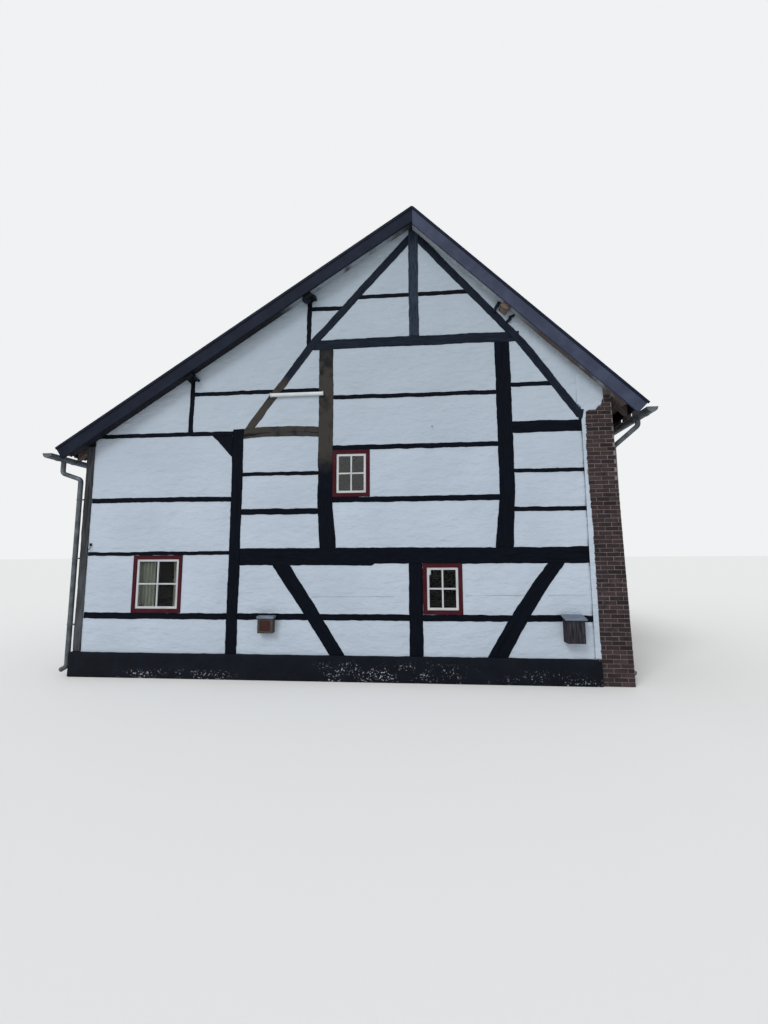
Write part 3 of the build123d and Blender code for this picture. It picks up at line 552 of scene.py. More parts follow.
# The lime wash inside is drawn dark grey: painted shade of the unlit rooms seen through the windows.
ROOM_WASH_PAINTED_SHADE = LimeWash("brushed_lime_wash_room_painted_shade", "#3A3935", "#31302D", lump=0.002)
BRICK = Fired("hand_moulded_brick")
ROOF_CLAY = Fired(
    "smothered_clay_pantile",
    ("#25282C", "#2F3236", "#383B3E", "#45474A"),
    burnt="#1D1F22",
    bloom="#5B6156",
    bloom_from=0.66,
    sand=0.01,
    roughness=0.7,
)
LIME_MORTAR = Mineral("lime_mortar_joints")
TAR = Mineral(
    "tarred_plinth_render",
    "#050914",
    "#0B101B",
    "#A9AFB5",
    patch_size=0.3,
    flake_size=0.03,
    flake_from=0.6,
    flake_top=0.4,
    flakes_where_bare=True,
    lump_size=0.08,
    lump=0.006,
    roughness=0.75,
    gloss=0.15,
)
FLAGSTONE = Mineral("split_flagstone", "#6E6C68", "#5C5A57", "#85827C", lump_size=0.1)
SHEET_ZINC = Zinc("rolled_zinc_patina")
WINDOW_GLASS = Glass("drawn_window_glass")
# The upper panes get a copy of the glass that reflects more than the ground ones: a painted reflection of
# the sky.
UPPER_GLASS_PAINTED_REFLECTION = Glass("drawn_window_glass_painted_reflection", ior=1.5)
VOILE = Cloth("woven_cotton_voile")
PALE_FLOOR = Ground("pale_floor")


# Making pieces


def place_piece(
    name: str,
    made: Mesh | Form | Iterable[Form],
    finishes: Sequence[Finish],
    slot: str,
    replaces: Sequence[str] = (),
    smooth: bool = False,
) -> Piece:
    """Makes an object of a mesh or of finished forms and sets it on the house.

    Args:
        name: The piece's name.
        made: Its mesh, or its form or forms to join, in place. Wood and paint get a grain if it's missing.
        finishes: Its finishes, in the order of the faces' material numbers.
        slot: The material slot that it stands for; not used.
        replaces: The solids that it stands for.
        smooth: Whether its faces are shaded smooth.

    Returns:
        The object.
    """
    if not isinstance(made, Mesh):
        form = made if isinstance(made, Form) else join_forms(made)
        if isinstance(finishes[0], (Wood, Paint)) and "grain" not in form.verts.layers.float_vector:
            lay_grain(form)
        made = to_mesh(form)
    made.name = name
    for finish in finishes:
        made.materials.append(finish.build())
    made.polygons.foreach_set("use_smooth", [smooth] * len(made.polygons))
    piece = bpy.data.objects.new(name, made)
    bpy.context.scene.collection.objects.link(piece)
    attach(piece, "root")
    if replaces:
        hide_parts(*replaces)
    made.calc_loop_triangles()
    LOG.info("%s: %d triangles", name, len(made.loop_triangles))
    return piece


def to_mesh(form: Form) -> Mesh:
    """Turns a finished form into a mesh and frees it."""
    mesh = bpy.data.meshes.new("form")
    form.to_mesh(mesh)
    form.free()
    return mesh


def join_forms(forms: Iterable[Form]) -> Form:
    """Joins forms into one and frees them."""
    joined = bmesh.new()
    for form in forms:
        mesh = to_mesh(form)
        joined.from_mesh(mesh)
        bpy.data.meshes.remove(mesh)
    return joined


def merged_copy(node: str) -> Form:
    """A form of a solid's flat faces, with the triangles' seams and doubles taken out."""
    form = bmesh.new()
    form.from_mesh(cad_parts[node].data)
    bmesh.ops.remove_doubles(form, verts=form.verts, dist=1e-5)
    bmesh.ops.dissolve_limit(form, angle_limit=math.radians(0.3), verts=form.verts, edges=form.edges)
    return form


def bevel(form: Form, edges: Sequence[bmesh.types.BMEdge], width: float, segments: int = 1) -> None:
    """Bevels some edges of a form, in the material of the faces beside them."""
    sizes = {"offset": width, "segments": segments, "profile": 0.5}
    bmesh.ops.bevel(form, geom=edges, **sizes, affect="EDGES", material=-1, clamp_overlap=True)


def soften(form: Form, width: float, segments: int = 1, least: float = 25.0) -> None:
    """Bevels the edges that are sharper than an angle in degrees."""
    angle = math.radians(least)
    sharp = [edge for edge in form.edges if len(edge.link_faces) == 2 and edge.calc_face_angle() > angle]
    bevel(form, sharp, width, segments)


def cut(form: Form, place: Vector, normal: Vector, near: float = 1e-5, clear: bool = False) -> None:
    """Cuts a form along a plane, and takes away what lies beyond it if asked to."""
    geom = form.verts[:] + form.edges[:] + form.faces[:]
    bmesh.ops.bisect_plane(form, geom=geom, dist=near, plane_co=place, plane_no=normal, clear_outer=clear)


def fill_holes(form: Form) -> None:
    """Closes the open loops of a form."""
    bmesh.ops.holes_fill(form, edges=[edge for edge in form.edges if edge.is_boundary], sides=40)


def slice_up(form: Form, step: float, axes: str) -> None:
    """Cuts a form into even slices along some axes, so that it can be bent and worn."""
    for axis in axes:
        number = "XYZ".index(axis)
        places = [vertex.co[number] for vertex in form.verts]
        low, high = min(places), max(places)
        count = max(1, round((high - low) / step))
        normal = (X, Y, Z)[number]
        for slice_number in range(1, count):
            cut(form, normal * (low + (high - low) * slice_number / count), normal)


def weather(
    form: Form,
    reach: Sequence[float],
    sizes: Sequence[tuple[float, float]] = ((0.8, 0.42), (0.2, 0.3), (0.07, 0.28)),
) -> None:
    """Moves a form's points by a smooth noise, the same for every piece, so that what meets stays together.

    Args:
        form: The form to wear.
        reach: How far a point may move along each axis.
        sizes: The size of each wave of the noise, and its share.
    """
    for vertex in form.verts:
        moved = Vector()
        for size, share in sizes:
            moved += noise.noise_vector(vertex.co / size) * share
        vertex.co += moved * Vector(reach)


def lay_bare(form: Form, places: Iterable[Sequence[float]]) -> None:
    """Notes how bare each point is, for places given as X, Z and how far each reaches along both."""
    layer = form.verts.layers.float.new("bare")
    for vertex in form.verts:
        shares = [
            2 * (1 - ((vertex.co.x - x) / reach_x) ** 2 - ((vertex.co.z - z) / reach_z) ** 2)
            for x, z, reach_x, reach_z in places
        ]
        vertex[layer] = min(1.0, max(0.0, *shares))


def islands(form: Form) -> list[list[bmesh.types.BMVert]]:
    """The separate solids of a form, each as its points."""
    seen: set[int] = set()
    found = []
    form.verts.index_update()
    for start in form.verts:
        if start.index in seen:
            continue
        seen.add(start.index)
        group, edge_of_group = [], [start]
        while edge_of_group:
            vertex = edge_of_group.pop()
            group.append(vertex)
            for edge in vertex.link_edges:
                other = edge.other_vert(vertex)
                if other.index not in seen:
                    seen.add(other.index)
                    edge_of_group.append(other)
        found.append(group)
    return found


def lay_grain(form: Form) -> None:
    """Gives each solid its own coordinates, the third along its length, for patterns in its grain."""
    layer = form.verts.layers.float_vector.new("grain")
    for number, group in enumerate(islands(form)):
        points = np.array([vertex.co for vertex in group])
        centred = points - points.mean(0)
        axes = np.linalg.svd(centred, full_matrices=False)[2] if len(group) > 3 else np.eye(3)
        local = centred @ np.stack([axes[1], axes[2], axes[0]]).T + number * 3.7
        for vertex, place in zip(group, local):
            vertex[layer] = Vector(place)


def repeat(pattern: Form, places: Sequence, tones: Sequence[float] = (), shake: float = 0.0) -> Mesh:
    """Joins many copies of one small form into one mesh.

    Args:
        pattern: The form to repeat, freed here.
        places: A four by four matrix for each copy.
        tones: A number from nought to one for each copy, kept on its faces.
        shake: How far each point may move by chance.

    Returns:
        The joined mesh.
    """
    pattern.verts.index_update()
    points = np.array([vertex.co for vertex in pattern.verts])
    faces = [[vertex.index for vertex in face.verts] for face in pattern.faces]
    pattern.free()
    places = np.array([np.array(place) for place in places])
    moved = np.einsum("nij,vj->nvi", places[:, :3, :3], points) + places[:, None, :3, 3]
    if shake:
        moved += np.random.default_rng(1).uniform(-shake, shake, moved.shape)
    starts = range(0, len(places) * len(points), len(points))
    mesh = bpy.data.meshes.new("repeated")
    mesh.from_pydata(
        moved.reshape(-1, 3), [], [[place + start for place in face] for start in starts for face in faces]
    )
    if len(tones):
        layer = mesh.attributes.new("tone", "FLOAT", "FACE")
        layer.data.foreach_set("value", np.repeat(tones, len(faces)).astype(np.float32))
    return mesh


def divided(low: float, high: float, size: float) -> tuple[float, list[float]]:
    """Divides a length into equal parts of about a size, and gives their true size and their middles."""
    count = round((high - low) / size)
    step = (high - low) / count
    return step, [low + step * (number + 0.5) for number in range(count)]


def turned(across: Vector, up: Vector, out: Vector, place: Sequence[float]) -> Matrix:
    """The matrix that takes a form's own axes to three directions at a place."""
    made = Matrix((across, up, out)).transposed().to_4x4()
    made.translation = place
    return made


def set_up(form: Form, across: Vector, up: Vector, out: Vector, place: Sequence[float]) -> Form:
    """Turns a form's own axes to three directions, moves it to a place and returns it."""
    bmesh.ops.transform(form, matrix=turned(across, up, out, place), verts=form.verts)
    return form


def box_form(size: Sequence[float], centre: Sequence[float], edge: float = 0.0, segments: int = 1) -> Form:
    """A box with bevelled edges."""
    form = bmesh.new()
    bmesh.ops.create_cube(form, size=1.0, matrix=Matrix.LocRotScale(Vector(centre), None, Vector(size)))
    if edge:
        soften(form, edge, segments)
    return form


def sheet(left: float, right: float, bottom: float, top: float, wide: float, high: float) -> Form:
    """A grid that lies in X and Y, in cells of about a given width and height."""
    form = bmesh.new()
    centre = Vector(((left + right) / 2, (bottom + top) / 2, 0))
    size = Vector(((right - left) / 2, (top - bottom) / 2, 1))
    counts = {"x_segments": round((right - left) / wide), "y_segments": round((top - bottom) / high)}
    bmesh.ops.create_grid(form, **counts, size=1.0, matrix=Matrix.LocRotScale(centre, None, size))
    return form


def bar_between(start: tuple, end: tuple, width: float, depth: float, y: float, edge: float = 0.004) -> Form:
    """A squared piece that lies flat against a gable.

    Args:
        start: X and Z of the middle of one end.
        end: X and Z of the middle of the other end.
        width: Its size across, in the plane of the gable.
        depth: Its size along Y.
        y: The place of its middle along Y.
        edge: The width of its worn arrises.

    Returns:
        The form, in place.
    """
    first, last = Vector((start[0], y, start[1])), Vector((end[0], y, end[1]))
    along = (last - first).normalized()
    form = box_form((width, depth, (last - first).length), (0, 0, 0), edge)
    return set_up(form, Y.cross(along), Y, along, (first + last) / 2)


def thicken(form: Form, thickness: float, outwards: Callable[[Vector], Vector]) -> None:
    """Turns a sheet's faces outwards, by the direction at each face's middle, and closes it into a shell."""
    form.normal_update()
    inward = [face for face in form.faces if face.normal.dot(outwards(face.calc_center_median())) < 0]
    bmesh.ops.reverse_faces(form, faces=inward)
    form.normal_update()
    bmesh.ops.solidify(form, geom=form.faces[:], thickness=thickness)


def sleeve(
    radius: float,
    length: float,
    thickness: float,
    span: tuple[float, float] = (-2.0, 2.0),
    taper: float = 1.0,
) -> Form:
    """A ring of sheet round its own Z axis.

    Args:
        radius: The ring's outer radius.
        length: How long it is.
        thickness: How thick the sheet is.
        span: The part that is kept, as shares of the radius along its own Y.
        taper: The far end's size as a share of the near end's.

    Returns:
        The form, its near end at the origin.
    """
    form = bmesh.new()
    ring = bmesh.ops.create_circle(form, segments=24, radius=radius, cap_ends=False)
    away = [vertex for vertex in ring["verts"] if not span[0] <= vertex.co.y / radius <= span[1]]
    bmesh.ops.delete(form, geom=away, context="VERTS")
    swept = bmesh.ops.extrude_edge_only(form, edges=form.edges[:])
    tops = [item for item in swept["geom"] if isinstance(item, bmesh.types.BMVert)]
    bmesh.ops.translate(form, verts=tops, vec=(0, 0, length))
    bmesh.ops.scale(form, verts=tops, vec=(taper, taper, 1))
    thicken(form, thickness, lambda middle: Vector((*middle.xy, 0)))
    return form


def rod(radius: float, length: float, segments: int = 10) -> Form:
    """A round bar along its own Z axis, with eased ends."""
    form = bmesh.new()
    sizes = {"radius1": radius, "radius2": radius, "depth": length, "segments": segments}
    bmesh.ops.create_cone(form, cap_ends=True, matrix=Matrix(), **sizes)
    soften(form, radius * 0.25, least=60)
    return form


# Timbers and boards


@dataclass
class Hewn:
    """Hewn timbers made from one solid, their arrises worn, sliced and bent a little, with a grain."""

    name: str
    node: str
    finish: Finish = TARRED_OAK
    slot: str = "tarred_timber"
    edge: float = 0.008
    reach: Sequence[float] = (0.026, 0.003, 0.026)
    step: float = 0.05
    axes: str = "XZ"
    bare: Sequence[Sequence[float]] = ()
    shaping: Callable[[Form], None] | None = None
    beyond_ridge: Finish | None = None

    def build(self) -> Piece:
        """Makes the piece that stands for its solid."""
        form = merged_copy(self.node)
        lay_grain(form)
        soften(form, self.edge)
        slice_up(form, self.step, self.axes)
        if self.shaping:
            self.shaping(form)
        if self.reach:
            weather(form, self.reach)
        if self.bare:
            lay_bare(form, self.bare)
        finishes = [self.finish]
        if self.beyond_ridge:
            finishes.append(self.beyond_ridge)
            for face in form.faces:
                face.material_index = int(face.calc_center_median().x > HOUSE.ridge_x)
        return place_piece(self.name, form, finishes, self.slot, [self.node])


@dataclass
class Sawn(Hewn):
    """Sawn timbers, boards and frames: straight, with eased edges, and sliced only where one is bare."""

    edge: float = 0.003
    reach: Sequence[float] = ()
    step: float = 0.2
    axes: str = ""


@dataclass
class Frame:
    """All the timbers of the walls and the roof, and the painted boards along its edges."""

    tie_beam_middle: float = 2.14
    tie_beam_step: float = 0.62
    tie_beam_drop: float = 0.03
    arched_beam: tuple = (-1.1, 0.7, 4.2, 4.55)
    arch_rise: float = 0.028
    bowed: tuple = ((2.705, 0.43), (3.735, 2.125), 0.04)
    bow_reach: tuple[float, float] = (0.25, 0.65)
    post_bare: tuple = ((-0.26, 4.85, 0.4, 1.25),)
    beam_bare: tuple = ((-1.1, 4.4, 1.0, 0.25),)
    principal_bare: tuple = ((-1.35, 4.85, 0.75, 0.75),)
    # Near the ridge the left soffit shows its pale paint instead of its painted shade; near its eave the
    # right soffit is bare wood.
    soffit_pale_and_bare: tuple = ((0.1, 7.8, 1.27, 9.0), (5.4, 4.5, 2.6, 9.0))
    purlin_bare: tuple = ((3.03, 6.59, 0.4, 0.4),)

    def shape_beams(self, form: Form) -> None:
        """Lowers the tie beam's underside on the left of its step, and arches the beam of the left bay."""
        middle, half, low, high = self.arched_beam
        for vertex in form.verts:
            if vertex.co.z < self.tie_beam_middle and vertex.co.x < self.tie_beam_step:
                vertex.co.z -= self.tie_beam_drop
            elif low < vertex.co.z < high and abs(vertex.co.x - middle) < half:
                vertex.co.z += self.arch_rise * (1 - ((vertex.co.x - middle) / half) ** 2)

    def bow_brace(self, form: Form) -> None:
        """Bows the right brace of the ground floor towards the middle, with the rails' ends beside it."""
        (foot_x, foot_z), (head_x, head_z), bow = self.bowed
        near, far = self.bow_reach
        for vertex in form.verts:
            share = (vertex.co.z - foot_z) / (head_z - foot_z)
            away = abs(vertex.co.x - foot_x - share * (head_x - foot_x))
            if 0 < share < 1 and away < far:
                vertex.co.x -= bow * math.sin(math.pi * share) * min(1.0, (far - away) / (far - near))

    def hewn(self) -> list[Hewn]:
        """The timbers of the gables, the side wall and the corners."""
        side = {"reach": (0.003, 0.018, 0.018), "step": 0.1, "axes": "YZ"}
        corner = {"reach": (0.014, 0.008, 0), "axes": "Z", "edge": 0.014}
        return [
            Hewn("hewn_gable_posts", "gable_posts", bare=self.post_bare),
            Hewn("hewn_gable_beams", "gable_beams", bare=self.beam_bare, shaping=self.shape_beams),
            Hewn("hewn_principals", "principal_rafters", TARRED_OAK_OLD, bare=self.principal_bare),
            Hewn("hewn_king_posts", "king_posts", TARRED_OAK_HIGH),
            Hewn("hewn_collars", "collar_beams", TARRED_OAK_OLD),
            Hewn("hewn_struts", "purlin_struts"),
            Hewn("hewn_braces", "gable_braces", shaping=self.bow_brace),
            Hewn("hewn_rails", "gable_rails", shaping=self.bow_brace),
            Hewn("hewn_side_posts", "side_wall_posts", **side),
            Hewn("hewn_side_braces", "side_wall_braces", **side),
            Hewn("hewn_side_rails", "side_wall_rails", **side),
            Hewn("hewn_corner_posts", "corner_posts", WEATHERED_OAK, "weathered_timber", **corner),
        ]

    def sawn(self) -> list[Sawn]:
        """The sawn timbers, boards and frames."""
        soffit = {"axes": "X", "bare": self.soffit_pale_and_bare, "beyond_ridge": RIGHT_SOFFIT}
        return [
            Sawn("sawn_purlins", "purlins", PURLIN_PINE, edge=0.008, axes="X", bare=self.purlin_bare),
            Sawn("sawn_wall_plates", "wall_plates", edge=0.006),
            Sawn("sawn_left_rafters", "left_rafters", AGED_PINE, "roof_timber", 0.004),
            Sawn("sawn_right_rafters", "right_rafters", AGED_PINE, "roof_timber", 0.004),
            Sawn("painted_fascias", "fascias", NAVY_PAINT, "verge_paint"),
            Sawn("painted_left_bargeboards", "left_bargeboards", NAVY_PAINT, "verge_paint"),
            # The right bargeboards carry the paler copy of the paint, a painted sky reflection.
            Sawn("painted_right_bargeboards", "right_bargeboards", VERGE_PAINT_SKY_REFLECTION, "verge_paint"),
            # The verge soffits are painted shade on the left and their pale paint on the right.
            Sawn("boarded_verge_soffits", "verge_soffits", LEFT_SOFFIT_PAINTED_SHADE, "pale_boards", 0.002, **soffit),
            Sawn("boarded_eave_soffit", "eave_soffit", EAVE_PINE, "weathered_timber", 0.002),
            Sawn("painted_window_frames", "window_frames", RED_PAINT, "red_paint", 0.005),
            Sawn("painted_sashes", "window_sashes", WHITE_PAINT, "white_paint", 0.004),
            Sawn("painted_door_frame", "door_frame", RED_PAINT, "red_paint", 0.005),
            Sawn("weathered_box_lids", "box_lids", LID_BOARDS, "weathered_timber"),
        ]

    def build(self) -> list[Piece]:
        """Makes each group of timbers."""
        return [timbers.build() for timbers in self.hewn() + self.sawn()]


@dataclass
class EdgeBoards:
    """A thin dark strip along the upper edge of each bargeboard, and boards on edge under both eaves.

    The boards stand behind the gutters, in lengths that leave narrow slits.
    """

    strip: float = 0.05
    proud: float = 0.012
    short: float = 0.01
    boards: tuple = ((-5.247, 4.062, 4.155), (5.174, 4.535, 4.735))
    lengths: tuple = ((-5.85, -5.63), (-5.58, -5.3), (-5.24, -1.2), (-1.196, 2.4), (2.404, 5.85))
    thickness: float = 0.018
    arris: float = 0.002

    def build_strips(self) -> None:
        """Makes the strips of both gables."""
        forms = []
        for gable in Gable:
            for slope in Slope:
                ridge = Vector((HOUSE.ridge_x, 0, HOUSE.slope_height(slope, HOUSE.ridge_x, self.strip / 2)))
                end = ridge + slope.down * (HOUSE.slope_length(slope) - self.short)
                y = gable.value * (HOUSE.verge_half + self.proud / 2)
                forms.append(bar_between(ridge.xz, end.xz, self.strip, self.proud, y))
        place_piece("verge_strips", forms, [NAVY_PAINT], "verge_paint")

    def build_eaves(self) -> None:
        """Makes the boards of both eaves in one piece."""
        forms = []
        for x, low, high in self.boards:
            for start, end in self.lengths:
                size = (self.thickness, end - start, high - low)
                forms.append(box_form(size, (x, (start + end) / 2, (low + high) / 2), self.arris))
        place_piece("eave_boards", forms, [AGED_PINE], "roof_timber")

    def build(self) -> None:
        """Makes the strips and the boards."""
        self.build_strips()
        self.build_eaves()


@dataclass
class Fixings:
    """Small timbers and irons at the purlin ends and on the front gable, and seams in its plaster."""

    cleats: tuple = (
        ((-0.709, 7.126), (-0.451, 6.956), 0.05, 0.12),
        ((-2.858, 5.633), (-2.698, 5.445), 0.045, 0.12),
        ((2.83, 6.55), (2.95, 6.75), 0.055, 0.03),
        ((3.06, 6.34), (3.14, 6.42), 0.05, 0.03),
        ((3.10, 6.44), (3.21, 6.47), 0.04, 0.03),
    )
    seams: tuple = (
        ((-0.47, 1.425), (0.98, 1.43)),
        ((2.2, 1.45), (3.2, 1.462)),
        ((3.57, 1.465), (4.27, 1.468)),
    )
    seam: tuple = (0.003, 0.004)
    knob: tuple = (-0.633, 0.1, 6.93)
    knob_radius: float = 0.075
    knob_shares: tuple = (1.1, 0.7, 0.85)
    stub: tuple = ((4.3, 4.68), (4.262, 4.5), 0.07, 0.03)
    hook: tuple = (-4.665, 2.3)
    hook_wire: float = 0.006
    hook_bend: float = 0.025
    hook_turn: float = 200.0
    shank: tuple = (0.0, 0.06, 0.012)
    plate: tuple = (0.04, 0.09, 0.03)
    nail: tuple = (1.68, 4.44)
    iron_proud: float = 0.02

    def build_knob(self, gable: Gable) -> Form:
        """A worn round end of a timber."""
        x, proud, z = self.knob
        form = bmesh.new()
        bmesh.ops.create_icosphere(form, subdivisions=3, radius=self.knob_radius)
        bmesh.ops.scale(form, verts=form.verts, vec=self.knob_shares)
        bmesh.ops.translate(form, verts=form.verts, vec=(x, gable.value * (HOUSE.half_depth + proud), z))
        weather(form, (0.02, 0.02, 0.02), ((0.08, 1.0),))
        return form

    def build_hook(self, y: float) -> list[Form]:
        """A small iron hook beside the corner post, with its shank and its plate."""
        x, z = self.hook
        form = bmesh.new()
        place = Vector((x, y, z))
        matrix = Matrix.Translation(place)
        ring = bmesh.ops.create_circle(form, segments=8, radius=self.hook_wire, matrix=matrix)
        edges = list({edge for vertex in ring["verts"] for edge in vertex.link_edges})
        turn = {"axis": (0, 1, 0), "angle": math.radians(self.hook_turn), "steps": 10}
        bmesh.ops.spin(form, geom=ring["verts"] + edges, cent=place - X * self.hook_bend, **turn)
        fill_holes(form)
        bmesh.ops.recalc_face_normals(form, faces=form.faces)
        low, high, size = self.shank
        shank = bar_between((x, z + low), (x, z + high), size, size, y, 0.003)
        low, high, size = self.plate
        return [form, shank, bar_between((x, z + low), (x, z + high), size, size, y + 0.012)]

    def build(self) -> None:
        """Makes the wooden pieces on both gables, and the seams and irons on the front one."""
        forms = []
        for gable in Gable:
            for start, end, width, depth in self.cleats:
                y = gable.value * (HOUSE.half_depth + depth * 0.6)
                cleat = bar_between(start, end, width, depth, y, 0.01)
                slice_up(cleat, 0.03, "XZ")
                weather(cleat, (0.012, 0.003, 0.012), ((0.06, 1.0),))
                forms.append(cleat)
            forms.append(self.build_knob(gable))
            forms.append(bar_between(*self.stub, gable.value * (HOUSE.half_depth - 0.002), 0.008))
        place_piece("purlin_cleats", forms, [TARRED_OAK_OLD], "tarred_timber")
        seams = [bar_between(*ends, *self.seam, -HOUSE.half_depth - 0.002, 0.001) for ends in self.seams]
        place_piece("plaster_seams", seams, [LIME_MORTAR], "lime_wash")
        y = -HOUSE.half_depth - self.iron_proud
        nail = set_up(rod(0.006, 0.06, 8), X, Z, -Y, (self.nail[0], y, self.nail[1]))
        place_piece("gable_irons", [*self.build_hook(y), nail], [IRON], "tarred_timber")


@dataclass
class PlasterSkin:
    """Uneven lime washed plaster over a wall's panels, swelling between the timbers."""

    step: float = 0.05
    thickness: float = 0.004
    swell: float = 0.012
    tuck: float = 0.002
    shoulder: float = 0.14
    lifted: float = 0.03
    wave_size: float = 0.45
    waves: float = 0.004
    hole_margin: float = 0.03
    foot: float = HOUSE.plinth_top - 0.04
    gable_top: float = 8.56
    side_top: float = 4.09
    pier_seam: float = HOUSE.brick_inner - 0.006
    pier_proud: float = 0.0065
    pier_lap: float = 0.06
    pier_lap_from: float = 4.715
    pier_lap_rise: float = 1.16
    pier_rim: float = 0.004
    pier_cell: tuple = (0.01, 0.018)
    pier_line: tuple = (
        (0.40, 4.374),
        (1.07, 4.370),
        (2.10, 4.364),
        (2.70, 4.362),
        (3.40, 4.338),
        (3.83, 4.332),
        (4.645, 4.360),
        (4.655, 4.50),
        (4.672, 4.535),
        (4.749, 4.63),
        (4.90, 4.665),
        (6.0, 4.665),
    )
    tooth: float = 0.014
    tooth_height: float = 0.0725

    def cut_holes(self, form: Form, windows: Iterable[Sequence[float]]) -> None:
        """Cuts the windows out of a sheet that lies in X and Y."""
        for left, bottom, width, height in windows:
            margin = self.hole_margin
            low = Vector((left + margin, bottom + margin, 0))
            high = Vector((left + width - margin, bottom + height - margin, 0))
            for corner in (low, high):
                for normal in (X, Y):
                    cut(form, corner, normal, 1e-4)
            middles = [(face, face.calc_center_median()) for face in form.faces]
            inside = [face for face, at in middles if low.x < at.x < high.x and low.y < at.y < high.y]
            bmesh.ops.delete(form, geom=inside, context="FACES")

    def build_skin(
        self, name: str, form: Form, timbers: BVHTree, across: Vector, out: Vector, face: float
    ) -> None:
        """Stands a sheet up before a wall, swells it out between the timbers, and closes it.

        Args:
            name: The piece's name.
            form: The sheet, in X and Y.
            timbers: The finished timbers and window frames.
            across: The direction along the wall.
            out: The direction out of the wall.
            face: How far out the sheet stands.
        """
        set_up(form, across, Z, out, out * face)
        for vertex in form.verts:
            nearest = timbers.find_nearest(vertex.co + out * self.lifted)
            distance = max(0.0, nearest[3] - self.lifted) if nearest[0] is not None else self.shoulder
            share = min(1.0, distance / self.shoulder)
            share = share * share * (3 - 2 * share)
            wave = noise.noise(vertex.co / self.wave_size) * self.waves * share
            vertex.co += out * (self.tuck + self.swell * share + wave)
        thicken(form, self.thickness, lambda _: out)
        place_piece(name, form, [LIME_WASH], "lime_wash", smooth=True)

    def build_gable(self, gable: Gable, timbers: BVHTree) -> None:
        """Makes the skin of one gable."""
        left, right = HOUSE.corner_post_inner - 0.01, HOUSE.brick_inner
        form = sheet(left, right, self.foot, self.gable_top, self.step, self.step)
        ridge = Vector((HOUSE.ridge_x, HOUSE.slope_height(Slope.LEFT, HOUSE.ridge_x, HOUSE.covering), 0))
        for slope in Slope:
            cut(form, ridge, Vector((*slope.out.xz, 0)), 1e-4, clear=True)
        self.cut_holes(form, OPENINGS.gable)
        face = HOUSE.half_depth - HOUSE.infill_recess
        self.build_skin(f"plaster_{gable.name.lower()}", form, timbers, X, Y * gable.value, face)

    def build_side(self, timbers: BVHTree) -> None:
        """Makes the skin of the left side wall."""
        half = HOUSE.inner_half_depth
        form = sheet(-half, half, self.foot, self.side_top, self.step, self.step)
        self.cut_holes(form, OPENINGS.side)
        self.build_skin("plaster_side", form, timbers, Y, -X, -HOUSE.left_face - HOUSE.infill_recess)

    def pier_edge(self, z: float) -> float:
        """The ragged right edge, along X, of the lime wash on a pier at a height."""
        tooth = noise.noise(Vector((0, round(z / self.tooth_height) * 1.7, 0))) * self.tooth
        tooth += noise.noise(Vector((3, z / 0.03, 0))) * self.tooth * 0.5
        low, start = self.pier_line[0]
        for high, end in self.pier_line[1:]:
            if z < high:
                return start + (end - start) * (z - low) / (high - low) + tooth
            low, start = high, end
        return start

    def is_off_pier(self, place: Vector) -> bool:
        """Whether a place of the sheet lies outside the lime wash of a pier."""
        seam = self.pier_seam
        ragged = noise.noise(Vector((place.x / 0.05, place.y / 0.05, 9))) * 0.02
        beside = place.x < seam and place.y < self.pier_lap_from + (seam - place.x) * self.pier_lap_rise
        above = place.y > HOUSE.slope_height(Slope.RIGHT, place.x, HOUSE.covering)
        return beside or above or place.x > self.pier_edge(place.y + ragged)

    def build_pier(self) -> None:
        """Makes the lime wash that runs on over the edge of both piers, and the plaster above it."""
        seam = self.pier_seam
        left, right = seam - self.pier_lap, self.pier_line[-1][1] + 0.02
        top = HOUSE.slope_height(Slope.RIGHT, left, HOUSE.covering)
        form = sheet(left, right, HOUSE.plinth_top, top, *self.pier_cell)
        off = [face for face in form.faces if self.is_off_pier(face.calc_center_median())]
        bmesh.ops.delete(form, geom=off, context="FACES")
        right_of = seam + self.pier_cell[0]
        edge = [vertex for vertex in form.verts if vertex.is_boundary and vertex.co.x > right_of]
        bmesh.ops.smooth_vert(form, verts=edge, factor=0.4, use_axis_x=True, use_axis_y=True)
        for vertex in form.verts:
            lumps = noise.noise(Vector((vertex.co.x / 0.12, vertex.co.y / 0.08, 5))) * 0.0025
            lapped = max(0.0, (seam - vertex.co.x) / self.pier_lap)
            rim = self.pier_rim if vertex.is_boundary and vertex.co.x > right_of else 0.0
            vertex.co.z = self.pier_proud + lumps - rim - lapped * self.pier_rim
        bmesh.ops.solidify(form, geom=form.faces[:], thickness=-self.thickness)
        skins = []
        for gable in Gable:
            skin = set_up(form.copy(), X, Z, Y * gable.value, Y * gable.value * HOUSE.half_depth)
            bmesh.ops.recalc_face_normals(skin, faces=skin.faces)
            skins.append(skin)
        form.free()
        place_piece("pier_lime_wash", skins, [LIME_WASH], "lime_wash", smooth=True)

    def build(self, timbers: Iterable[Piece]) -> None:
        """Makes all the skins around the finished timbers and window frames."""
        joined = bmesh.new()
        for timber in timbers:
            joined.from_mesh(timber.data)
        tree = BVHTree.FromBMesh(joined)
        joined.free()
        for gable in Gable:
            self.build_gable(gable, tree)
        self.build_side(tree)
        self.build_pier()


